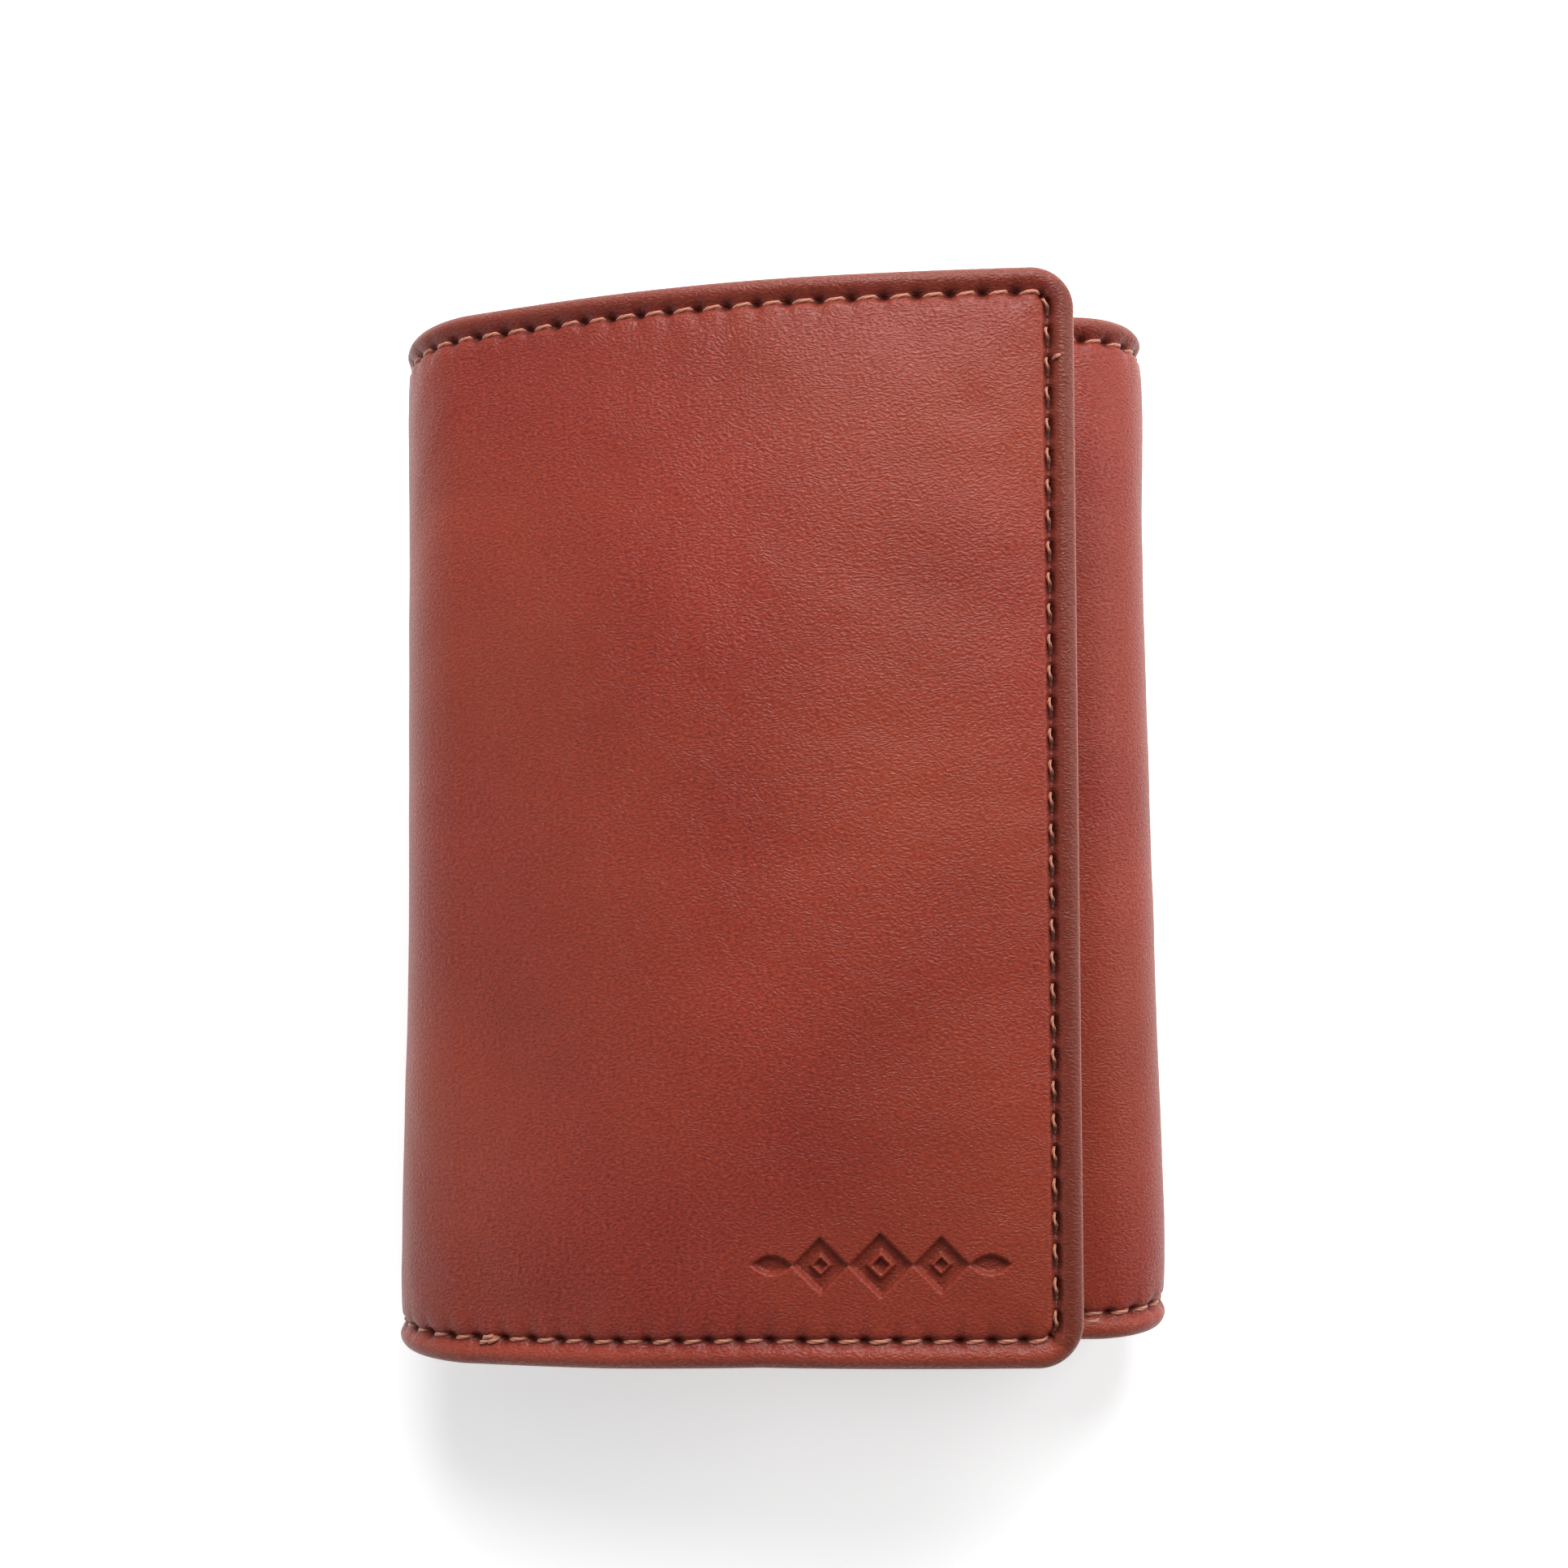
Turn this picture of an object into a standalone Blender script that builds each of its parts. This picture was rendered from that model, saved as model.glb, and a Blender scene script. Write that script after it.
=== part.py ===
"""A trifold wallet of soft leather, closed and lying on its back panel.

One long strip of leather, the hide, runs from the tip of the inner flap round the right fold, along
the back, round the left fold and over to the free edge of the outer flap. Every layer of the wallet
follows it, so each piece is cut out in the hide's own flat coordinates and then wrapped: `along` is
the distance along the hide from the tip of the inner flap, `across` is the world's Y, and `depth` is
how far a point lies under the outer surface.

Metres, +Z up. The back rests on Z = 0, the left fold is at -X, and +Y is the edge where notes go in.
"""

import math

import bpy
import numpy as np

# The closed wallet
CLOSED_WIDTH = 0.0825
HEIGHT = 0.108
LEFT_FOLD_RADIUS = 0.0125
RIGHT_FOLD_RADIUS = 0.0085
FREE_EDGE_X = 0.0295
FREE_EDGE_Z = 0.0335
OUTER_FLAP_RISE = math.radians(18)
INNER_TIP_X = -0.024
INNER_TIP_DROP = 0.0072
INNER_TIP_SLOPE = math.radians(8)
CORNER_RADIUS = 0.0036

# Layers, from the outer surface inwards
LEATHER = (0.0, 0.0012)
PADDING = (0.0015, 0.0020)
DIVIDER = (0.0023, 0.0027)
FIRST_POCKET = 0.0030
POCKET_THICKNESS = 0.0005
POCKET_PITCH = 0.0008
FILM = (0.0030, 0.0032)
WINDOW_FRAME = (0.0035, 0.0041)

# Margins between a layer's edge and the hide's edge
HINGE_GAP = 0.0008
PADDING_MARGIN = 0.005
DIVIDER_MARGIN = 0.0006
NOTE_MOUTH = 0.0035

# Stitching
ROW_INSET = 0.0027
GROOVE_HALF_TOP = 0.0006
GROOVE_HALF_FLOOR = 0.0005
GROOVE_DEPTH = 0.0008
THREAD_HALF_WIDTH = 0.0002
THREAD_DEPTH = (0.0001, 0.0005)

# Card pockets
POCKET_FOOT = 0.0012
POCKET_MARGIN = 0.0016
CENTRE_POCKET_TOPS = (0.032, 0.018, 0.004)
FLAP_POCKET_TOPS = (0.028, 0.010)
WINDOW_TOP = 0.036
WINDOW_BORDER = 0.008
FILM_TUCK = 0.004

ARC_STEP = math.radians(11.25)
PANEL_STEP = 0.006
PROFILE_STEPS = 200

LEATHER_COLOUR = (0.30, 0.075, 0.045, 1)
LINING_COLOUR = (0.16, 0.06, 0.04, 1)
THREAD_COLOUR = (0.50, 0.20, 0.09, 1)
FLEECE_COLOUR = (0.10, 0.045, 0.03, 1)
FILM_COLOUR = (0.85, 0.88, 0.90, 1)


# ---------------------------------------------------------------- the hide's profile

def arc(centre, radius, start, turn):
    """Points and directions along an arc, turned clockwise; `start` is the direction it sets out in."""
    directions = start - np.linspace(0, turn, PROFILE_STEPS)
    x = centre[0] - radius * np.sin(directions)
    z = centre[1] + radius * np.cos(directions)
    return np.column_stack([x, z, directions])


def straight(start, end, direction):
    points = np.linspace(start, end, PROFILE_STEPS)
    return np.column_stack([points, np.full(PROFILE_STEPS, direction)])


def bow(start, start_direction, end, end_direction, turns=0):
    """A cubic Bezier curve between two points, with the direction it has at each of them."""
    reach = 0.4 * math.dist(start, end)
    first, last = np.array(start), np.array(end)
    leave = first + reach * np.array([math.cos(start_direction), math.sin(start_direction)])
    arrive = last - reach * np.array([math.cos(end_direction), math.sin(end_direction)])
    t = np.linspace(0, 1, PROFILE_STEPS)[:, None]
    points = (1 - t) ** 3 * first + 3 * (1 - t) ** 2 * t * leave + 3 * (1 - t) * t * t * arrive + t**3 * last
    slope = (1 - t) ** 2 * (leave - first) + 2 * (1 - t) * t * (arrive - leave) + t * t * (last - arrive)
    directions = np.arctan2(slope[:, 1], slope[:, 0]) + turns * 2 * math.pi
    return np.column_stack([points, directions])


def wallet_profile():
    """The hide's outer surface seen along Y, as named stretches of (x, z, direction)."""
    half_turn = math.pi
    quarter_turn = math.pi / 2
    right = (CLOSED_WIDTH / 2 - RIGHT_FOLD_RADIUS, RIGHT_FOLD_RADIUS)
    left = (LEFT_FOLD_RADIUS - CLOSED_WIDTH / 2, LEFT_FOLD_RADIUS)
    right_top = (right[0], 2 * RIGHT_FOLD_RADIUS)
    inner_tip = (INNER_TIP_X, right_top[1] - INNER_TIP_DROP)
    upper_turn = quarter_turn - OUTER_FLAP_RISE
    left_top = (
        left[0] - LEFT_FOLD_RADIUS * math.sin(OUTER_FLAP_RISE),
        left[1] + LEFT_FOLD_RADIUS * math.cos(OUTER_FLAP_RISE),
    )
    free_edge = (FREE_EDGE_X, FREE_EDGE_Z)
    return {
        "inner_flap": bow(inner_tip, INNER_TIP_SLOPE, right_top, 0),
        "right_fold_upper": arc(right, RIGHT_FOLD_RADIUS, 0, quarter_turn),
        "right_fold_lower": arc(right, RIGHT_FOLD_RADIUS, -quarter_turn, quarter_turn),
        "centre": straight((right[0], 0), (left[0], 0), -half_turn),
        "left_fold_lower": arc(left, LEFT_FOLD_RADIUS, -half_turn, quarter_turn),
        "left_fold_upper": arc(left, LEFT_FOLD_RADIUS, -3 * quarter_turn, upper_turn),
        "outer_flap": bow(left_top, OUTER_FLAP_RISE, free_edge, 0, turns=-1),
    }


PROFILE = wallet_profile()


def measure_profile():
    """The profile as one table of (along, x, z, direction), and where each stretch starts and ends."""
    rows = []
    spans = {}
    reached = 0.0
    for name, stretch in PROFILE.items():
        steps = np.hypot(*np.diff(stretch[:, :2], axis=0).T)
        along = reached + np.concatenate([[0], np.cumsum(steps)])
        spans[name] = (reached, along[-1])
        rows.append(np.column_stack([along, stretch]))
        reached = along[-1]
    return np.vstack(rows), spans


TABLE, SPANS = measure_profile()
HIDE_LENGTH = TABLE[-1, 0]


def wrap(along, across, depth):
    """The place in space of a point given in the hide's flat coordinates."""
    x = np.interp(along, TABLE[:, 0], TABLE[:, 1])
    z = np.interp(along, TABLE[:, 0], TABLE[:, 2])
    direction = np.interp(along, TABLE[:, 0], TABLE[:, 3])
    return (x + depth * math.sin(direction), across, z - depth * math.cos(direction))


def stretch_lines(name, trim_start=0.0, trim_end=0.0):
    """Evenly spaced lines across a stretch, close together where it is bent."""
    start, end = SPANS[name]
    start, end = start + trim_start, end - trim_end
    turn = abs(PROFILE[name][-1, 2] - PROFILE[name][0, 2])
    count = max(round(turn / ARC_STEP), round((end - start) / PANEL_STEP), 1)
    if name == "centre":
        count = 1
    return list(np.linspace(start, end, count + 1))


def fold_lines(fold):
    first, second = ("upper", "lower") if fold == "right_fold" else ("lower", "upper")
    return stretch_lines(f"{fold}_{first}") + stretch_lines(f"{fold}_{second}")[1:]


# ---------------------------------------------------------------- materials and objects

def material(name, colour, roughness):
    made = bpy.data.materials.new(name)
    made.use_nodes = True
    shader = made.node_tree.nodes["Principled BSDF"]
    shader.inputs["Base Color"].default_value = colour
    shader.inputs["Roughness"].default_value = roughness
    shader.inputs["Metallic"].default_value = 0.0
    return made


def add_object(name, points, faces, finish, hinge=None):
    """A mesh object; one that moves is parented to the empty on its joint's axis."""
    mesh = bpy.data.meshes.new(name)
    mesh.from_pydata(points, [], faces)
    mesh.materials.append(finish)
    mesh.shade_smooth()
    mesh.set_sharp_from_angle(angle=math.radians(35))
    made = bpy.data.objects.new(name, mesh)
    bpy.context.collection.objects.link(made)
    if hinge:
        made.parent = hinge
        made.matrix_parent_inverse = hinge.matrix_world.inverted()
    return made


def hinge_place(centre, radius, middle, turn):
    """The axis about which an arc of leather can be rolled flat without changing its length."""
    reach = radius * (turn / 2) / math.sin(turn / 2)
    return (centre[0] + reach * math.cos(middle), 0, centre[1] + reach * math.sin(middle))


def add_hinge(name, place, parent=None):
    hinge = bpy.data.objects.new(name, None)
    bpy.context.collection.objects.link(hinge)
    hinge.location = place
    bpy.context.view_layer.update()
    if parent:
        hinge.parent = parent
        hinge.matrix_parent_inverse = parent.matrix_world.inverted()
        bpy.context.view_layer.update()
    return hinge


def add_hinges():
    """One empty on each of the four fold axes, each flap's chained to its fold's."""
    right = (CLOSED_WIDTH / 2 - RIGHT_FOLD_RADIUS, RIGHT_FOLD_RADIUS)
    left = (LEFT_FOLD_RADIUS - CLOSED_WIDTH / 2, LEFT_FOLD_RADIUS)
    eighth = math.pi / 4
    upper_turn = math.pi / 2 - OUTER_FLAP_RISE
    hinges = {}
    hinges["right_fold"] = add_hinge(
        "hinge_right_lower", hinge_place(right, RIGHT_FOLD_RADIUS, -eighth, 2 * eighth)
    )
    hinges["inner_flap"] = add_hinge(
        "hinge_right_upper", hinge_place(right, RIGHT_FOLD_RADIUS, eighth, 2 * eighth), hinges["right_fold"]
    )
    hinges["left_fold"] = add_hinge(
        "hinge_left_lower", hinge_place(left, LEFT_FOLD_RADIUS, -3 * eighth, 2 * eighth)
    )
    hinges["outer_flap"] = add_hinge(
        "hinge_left_upper",
        hinge_place(left, LEFT_FOLD_RADIUS, math.pi - upper_turn / 2, upper_turn),
        hinges["left_fold"],
    )
    return hinges


# ---------------------------------------------------------------- cutting sheets and threads

def rounded(along, across, end, half_height):
    """Moves a point of a flap's square corner so that the corner becomes a quarter circle."""
    if end is None:
        return along, across
    inwards = 1 if end < HIDE_LENGTH / 2 else -1
    p = CORNER_RADIUS - inwards * (along - end)
    q = abs(across) - (half_height - CORNER_RADIUS)
    if p <= 0 or q <= 0:
        return along, across
    shrink = max(p, q) / math.hypot(p, q)
    along = end + inwards * (CORNER_RADIUS - p * shrink)
    across = math.copysign(half_height - CORNER_RADIUS + q * shrink, across)
    return along, across


def sheet(along_lines, across_lines, outer_depth, inner_depth, corner_end=None, is_hole=None):
    """Points and faces of a closed sheet over a grid of lines; outer_depth may be a function."""
    rows, columns = len(along_lines), len(across_lines)
    half_height = max(across_lines)
    outer, inner = [], []
    for along in along_lines:
        for across in across_lines:
            depth = outer_depth(along, across) if callable(outer_depth) else outer_depth
            place = rounded(along, across, corner_end, half_height)
            outer.append(wrap(*place, depth))
            inner.append(wrap(*place, inner_depth))

    def kept(i, j):
        inside = 0 <= i < rows - 1 and 0 <= j < columns - 1
        return inside and not (is_hole and is_hole(i, j))

    faces = []
    below = rows * columns
    for i in range(rows - 1):
        for j in range(columns - 1):
            if not kept(i, j):
                continue
            near, far = i * columns + j, (i + 1) * columns + j
            faces.append((near, far, far + 1, near + 1))
            faces.append((near + below, near + 1 + below, far + 1 + below, far + below))
            sides = (
                ((i - 1, j), near + 1, near),
                ((i + 1, j), far, far + 1),
                ((i, j - 1), near, far),
                ((i, j + 1), far + 1, near + 1),
            )
            for neighbour, first, second in sides:
                if not kept(*neighbour):
                    faces.append((first, first + below, second + below, second))
    used = sorted({corner for face in faces for corner in face})
    place_of = {old: new for new, old in enumerate(used)}
    points = outer + inner
    return [points[k] for k in used], [tuple(place_of[k] for k in face) for face in faces]


def groove_lines(centre):
    return [
        centre - GROOVE_HALF_TOP,
        centre - GROOVE_HALF_FLOOR,
        centre + GROOVE_HALF_FLOOR,
        centre + GROOVE_HALF_TOP,
    ]


def leather_sheet(along_lines, free_end=None):
    """A panel of the hide with the groove that its stitching lies in, along each edge it has."""
    half_height = HEIGHT / 2
    row = half_height - ROW_INSET
    corner = half_height - CORNER_RADIUS
    across_lines = [-half_height, *groove_lines(-row), 0, *groove_lines(row), half_height]
    if free_end is not None:
        inwards = 1 if free_end < HIDE_LENGTH / 2 else -1
        row_along = free_end + inwards * ROW_INSET
        clear = [a for a in along_lines if abs(a - free_end) > CORNER_RADIUS + GROOVE_HALF_TOP]
        arc_lines = [free_end, *groove_lines(row_along), free_end + inwards * CORNER_RADIUS]
        along_lines = sorted(clear + arc_lines)
        across_lines = sorted(across_lines + [-corner, corner])

    def outer_depth(along, across):
        beyond = inwards * (row_along - along) if free_end is not None else -1.0
        off_row = max(abs(across) - row, beyond)
        return GROOVE_DEPTH if abs(off_row) <= GROOVE_HALF_FLOOR + 1e-7 else LEATHER[0]

    return sheet(along_lines, across_lines, outer_depth, LEATHER[1], corner_end=free_end)


def plain_sheet(along_lines, low, high, layer, corner_end=None, is_hole=None):
    return sheet(along_lines, [low, 0.5 * (low + high), high], *layer, corner_end=corner_end, is_hole=is_hole)


def row_thread(along_lines, side):
    """The thread of one straight row, lying in the groove at the +Y or the -Y edge."""
    row = side * (HEIGHT / 2 - ROW_INSET)
    across_lines = [row - THREAD_HALF_WIDTH, row + THREAD_HALF_WIDTH]
    return sheet(along_lines, across_lines, *THREAD_DEPTH)


def flap_thread(along_lines, free_end):
    """The thread of a flap's row, which runs round its two corners without a break."""
    inwards = 1 if free_end < HIDE_LENGTH / 2 else -1
    row = HEIGHT / 2 - ROW_INSET
    row_along = free_end + inwards * ROW_INSET
    radius = CORNER_RADIUS - ROW_INSET
    straight_run = [a for a in along_lines if inwards * (a - row_along) > 2 * radius]
    straight_run.sort(key=lambda a: -inwards * a)
    bend = np.linspace(0, math.pi / 2, 5)
    path = [(a, row, 0, 1) for a in straight_run]
    for angle in bend:
        outwards = (-inwards * math.sin(angle), math.cos(angle))
        centre_along = row_along + inwards * radius
        path.append((
            centre_along + radius * outwards[0], row - radius + radius * outwards[1], *outwards
        ))
    path += [(a, -y, out_a, -out_y) for a, y, out_a, out_y in reversed(path)]
    points, faces = [], []
    for along, across, out_along, out_across in path:
        for side, depth in ((1, 0), (1, 1), (-1, 1), (-1, 0)):
            reach = side * THREAD_HALF_WIDTH
            points.append(
                wrap(along + reach * out_along, across + reach * out_across, THREAD_DEPTH[depth])
            )
    for k in range(len(path) - 1):
        for corner in range(4):
            nearer = (4 * k + corner, 4 * k + (corner + 1) % 4)
            faces.append((nearer[0], nearer[1], nearer[1] + 4, nearer[0] + 4))
    last = 4 * (len(path) - 1)
    faces += [(3, 2, 1, 0), (last, last + 1, last + 2, last + 3)]
    if inwards < 0:
        faces = [face[::-1] for face in faces]
    return points, faces


# ---------------------------------------------------------------- the pieces

def add_shell(finishes, hinges):
    """The hide in its five stretches, each with the thread in its groove."""
    leather, thread = finishes["leather"], finishes["thread"]
    runs = {
        "inner_flap": stretch_lines("inner_flap", trim_end=HINGE_GAP),
        "right_fold": fold_lines("right_fold"),
        "centre": stretch_lines("centre", HINGE_GAP, HINGE_GAP),
        "left_fold": fold_lines("left_fold"),
        "outer_flap": stretch_lines("outer_flap", trim_start=HINGE_GAP),
    }
    free_ends = {"inner_flap": 0.0, "outer_flap": HIDE_LENGTH}
    for body, lines in runs.items():
        hinge = hinges.get(body)
        free_end = free_ends.get(body)
        add_object(f"{body}_leather", *leather_sheet(lines, free_end), leather, hinge)
        if free_end is not None:
            add_object(f"{body}_thread", *flap_thread(lines, free_end), thread, hinge)
            continue
        for name, side in (("top", 1), ("bottom", -1)):
            add_object(f"{body}_thread_{name}", *row_thread(lines, side), thread, hinge)


def add_padding(finishes, hinges):
    """A sheet of thin fleece behind the leather of each flat panel."""
    edge = HEIGHT / 2 - PADDING_MARGIN
    for body in ("inner_flap", "centre", "outer_flap"):
        lines = stretch_lines(body, PADDING_MARGIN, PADDING_MARGIN)
        shape = plain_sheet(lines, -edge, edge, PADDING)
        add_object(f"{body}_padding", *shape, finishes["fleece"], hinges.get(body))


def add_dividers(finishes, hinges):
    """The lining between the note compartment and the pockets, along the whole wallet."""
    low = DIVIDER_MARGIN - HEIGHT / 2
    high = HEIGHT / 2 - NOTE_MOUTH
    runs = {
        "inner_flap": stretch_lines("inner_flap", DIVIDER_MARGIN, HINGE_GAP),
        "right_fold": fold_lines("right_fold"),
        "centre": stretch_lines("centre", HINGE_GAP, HINGE_GAP),
        "left_fold": fold_lines("left_fold"),
        "outer_flap": stretch_lines("outer_flap", HINGE_GAP, DIVIDER_MARGIN),
    }
    for body, lines in runs.items():
        shape = plain_sheet(lines, low, high, DIVIDER)
        add_object(f"{body}_divider", *shape, finishes["lining"], hinges.get(body))


def pocket_lines(body, trim=0.0):
    """Lines across a pocket, which stops short of a fold and keeps a margin at a free edge."""
    start = POCKET_MARGIN if body == "inner_flap" else HINGE_GAP
    end = POCKET_MARGIN if body == "outer_flap" else HINGE_GAP
    return stretch_lines(body, start + trim, end + trim)


def add_pockets(finishes, hinges):
    """Card pockets in steps, each one in front of the pocket above it."""
    stacks = (
        ("centre", CENTRE_POCKET_TOPS, ("upper", "middle", "lower")),
        ("inner_flap", FLAP_POCKET_TOPS, ("upper", "lower")),
    )
    foot = POCKET_FOOT - HEIGHT / 2
    for body, tops, names in stacks:
        for step, (top, name) in enumerate(zip(tops, names)):
            depth = FIRST_POCKET + step * POCKET_PITCH
            layer = (depth, depth + POCKET_THICKNESS)
            shape = plain_sheet(pocket_lines(body), foot, top, layer)
            add_object(f"{body}_pocket_{name}", *shape, finishes["leather"], hinges.get(body))


def add_window(finishes, hinges):
    """A card window on the inside of the outer flap: a clear film behind a leather frame."""
    low = POCKET_FOOT - HEIGHT / 2
    film_lines = pocket_lines("outer_flap", FILM_TUCK)
    film = plain_sheet(film_lines, low + FILM_TUCK, WINDOW_TOP - FILM_TUCK, FILM)
    add_object("window_film", *film, finishes["film"], hinges["outer_flap"])
    lines = pocket_lines("outer_flap")
    first, last = lines[0] + WINDOW_BORDER, lines[-1] - WINDOW_BORDER
    inside = [along for along in lines if first + POCKET_MARGIN < along < last - POCKET_MARGIN]
    along_lines = [lines[0], first, *inside, last, lines[-1]]
    across_lines = [low, low + WINDOW_BORDER, WINDOW_TOP - WINDOW_BORDER, WINDOW_TOP]
    last_row = len(along_lines) - 2

    def is_hole(i, j):
        return 0 < i < last_row and j == 1

    frame = sheet(along_lines, across_lines, *WINDOW_FRAME, is_hole=is_hole)
    add_object("window_frame", *frame, finishes["leather"], hinges["outer_flap"])


def main():
    for existing in list(bpy.data.objects):
        bpy.data.objects.remove(existing, do_unlink=True)
    finishes = {
        "leather": material("leather", LEATHER_COLOUR, 0.5),
        "lining": material("lining", LINING_COLOUR, 0.8),
        "thread": material("thread", THREAD_COLOUR, 0.6),
        "fleece": material("fleece", FLEECE_COLOUR, 0.9),
        "film": material("film", FILM_COLOUR, 0.15),
    }
    hinges = add_hinges()
    add_shell(finishes, hinges)
    add_padding(finishes, hinges)
    add_dividers(finishes, hinges)
    add_pockets(finishes, hinges)
    add_window(finishes, hinges)


main()
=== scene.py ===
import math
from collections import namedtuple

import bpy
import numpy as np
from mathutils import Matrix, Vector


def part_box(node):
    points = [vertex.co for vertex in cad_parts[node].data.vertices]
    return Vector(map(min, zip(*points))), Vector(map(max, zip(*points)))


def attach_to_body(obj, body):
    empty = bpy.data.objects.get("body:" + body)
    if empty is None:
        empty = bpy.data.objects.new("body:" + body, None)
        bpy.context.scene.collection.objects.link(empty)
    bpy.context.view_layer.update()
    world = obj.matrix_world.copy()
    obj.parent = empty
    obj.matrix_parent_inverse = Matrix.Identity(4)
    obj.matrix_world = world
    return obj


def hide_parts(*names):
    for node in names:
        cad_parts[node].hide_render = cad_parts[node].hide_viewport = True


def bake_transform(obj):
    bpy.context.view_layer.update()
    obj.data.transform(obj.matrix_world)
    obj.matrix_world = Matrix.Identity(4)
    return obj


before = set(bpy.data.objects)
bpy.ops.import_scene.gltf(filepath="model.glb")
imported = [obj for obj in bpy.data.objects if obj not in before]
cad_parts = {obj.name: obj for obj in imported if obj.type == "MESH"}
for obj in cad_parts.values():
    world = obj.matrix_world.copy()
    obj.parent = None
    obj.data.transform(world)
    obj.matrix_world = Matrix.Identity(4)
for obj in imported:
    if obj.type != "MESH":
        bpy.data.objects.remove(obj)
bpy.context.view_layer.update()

# Looks of a padded leather trifold wallet, closed and lying on its back panel.
#
# Every piece is cut in the hide's flat coordinates and wrapped round the CAD profile: `along` runs from
# the inner flap's tip to the outer flap's free edge, `across` is the row's Y, and `depth` is measured
# inwards from the hide's outer surface. Metres throughout.

MM = 0.001
RNG_SEED = 20

# ---------------------------------------------------------------- dimensions

LEATHER = 1.2 * MM
HEM = 1.9 * MM
HEM_WIDTH = 6.0 * MM
HEM_STEP = 0.6 * MM
INNER_TIP_SLOPE = math.radians(8)
CORNER_RADIUS = 4.4 * MM
ROW_INSET = 2.7 * MM
STITCH_PITCH = 3.1 * MM
THREAD_RADIUS = 0.20 * MM

# The padding's swell, and the cloth simulation that shapes it.
PUFF = {"outer_flap": 1.0 * MM, "inner_flap": 0.45 * MM}
PAD_STEP = 1.5 * MM
PAD_SCALE = 10
PAD_FRAMES = 20
PAD_PRESSURE = 0.5
PAD_SLACK = -0.015
PAD_OVERLAP = 9 * MM

# The hide's relief: the stitched channel and its holes, the rim's crown, and the slack leather.
CHANNEL_DEPTH = 0.36 * MM
PUCKER_DEPTH = 0.40 * MM
PIT_DEPTH = 0.36 * MM
SLOT_DEPTH = 1.05 * MM
CROWN_HEIGHT = 0.22 * MM
SHOULDER_HEIGHT = 0.38 * MM
SAG_HEIGHT = 0.14 * MM
WAVE_HEIGHT = 0.045 * MM
CREASE_HEIGHT = 0.030 * MM

# Linings, pockets and window: depths under the hide's outer surface.
DIVIDER_DEPTH = 2.2 * MM
DIVIDER_THICKNESS = 0.55 * MM
DIVIDER_INSET = 0.6 * MM
POCKETS = {"centre": ("upper", "middle", "lower"), "inner_flap": ("upper", "lower")}
POCKET_DEPTH = 3.0 * MM
POCKET_STEP = 0.8 * MM
POCKET_THICKNESS = 0.62 * MM
FRAME_DEPTH = 3.5 * MM
WINDOW_BORDER = 8.0 * MM
FILM_DEPTHS = (3.05 * MM, 3.25 * MM)
FILM_TUCK = 4.0 * MM
END_MARGIN = 1.6 * MM
FOLD_MARGIN = 0.8 * MM
PADDING_DEPTH = 1.22 * MM
PADDING_THICKNESS = 0.8 * MM
PADDING_MARGIN = 5.0 * MM
RIPPLE = 0.05 * MM

ORNAMENT_INSET = 19.6 * MM
ORNAMENT_ACROSS = -44.0 * MM
ORNAMENT_SIZE = (25.0 * MM, 6.0 * MM)
STROKE = 1.15 * MM
PRESS_DEPTH = 0.72 * MM
PRESS_WALL = 0.19 * MM

# Grid steps of the hide: in the plain middle of a panel, at its rims and round the ornament.
PANEL_STEP = 0.44 * MM
RIM_STEP = 0.22 * MM
ORNAMENT_STEP = 0.147 * MM

# How far the upper and lower edges stand beyond straight lines, at each of KEY_PLACES, in millimetres.
UPPER_EDGE_SHIFT = (0.7, 0.9, 0.7, 0.0, 0.0, -0.7, 0.1, 0.3, 0.4, 0.45)
LOWER_EDGE_SHIFT = (-0.7, -0.8, -0.35, 0.0, 0.0, -0.9, -1.05, -0.65, 0.05, 0.2)
LEFT_FOLD_PRESS = 0.60 * MM
LEFT_FOLD_SINK = 0.50 * MM
LEFT_FOLD_REACH = 12.0 * MM
RIGHT_FOLD_PRESS = 0.38 * MM
RIGHT_FOLD_REACH = 8.0 * MM
FREE_EDGE_LEAN = (-0.4 * MM, 1.5 * MM)

PROFILE_STEPS = 240
RIM_BAND = 5.0 * MM
JOIN_LINE = 0.02 * MM


# ---------------------------------------------------------------- the hide's profile, from the frame

def box_xz(node):
    low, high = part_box(node)
    return low.x, low.z, high.x, high.z


def arc(centre, radius, start, turn):
    """Part of a fold, turning clockwise from its start direction."""
    directions = start - np.linspace(0, turn, PROFILE_STEPS)
    x = centre[0] - radius * np.sin(directions)
    z = centre[1] + radius * np.cos(directions)
    return np.column_stack([x, z, directions])


def straight(start, end, direction):
    points = np.linspace(start, end, PROFILE_STEPS)
    return np.column_stack([points, np.full(PROFILE_STEPS, direction)])


def bow(start, start_direction, end, end_direction, turns=0):
    """A cubic Bezier curve between two points, with the direction it has at each of them."""
    reach = 0.4 * math.dist(start, end)
    first, last = np.array(start), np.array(end)
    leave = first + reach * np.array([math.cos(start_direction), math.sin(start_direction)])
    arrive = last - reach * np.array([math.cos(end_direction), math.sin(end_direction)])
    t = np.linspace(0, 1, PROFILE_STEPS)[:, None]
    s = 1 - t
    points = s**3 * first + 3 * s**2 * t * leave + 3 * s * t * t * arrive + t**3 * last
    slope = s**2 * (leave - first) + 2 * s * t * (arrive - leave) + t * t * (last - arrive)
    directions = np.arctan2(slope[:, 1], slope[:, 0]) + turns * 2 * math.pi
    return np.column_stack([points, directions])


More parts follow.
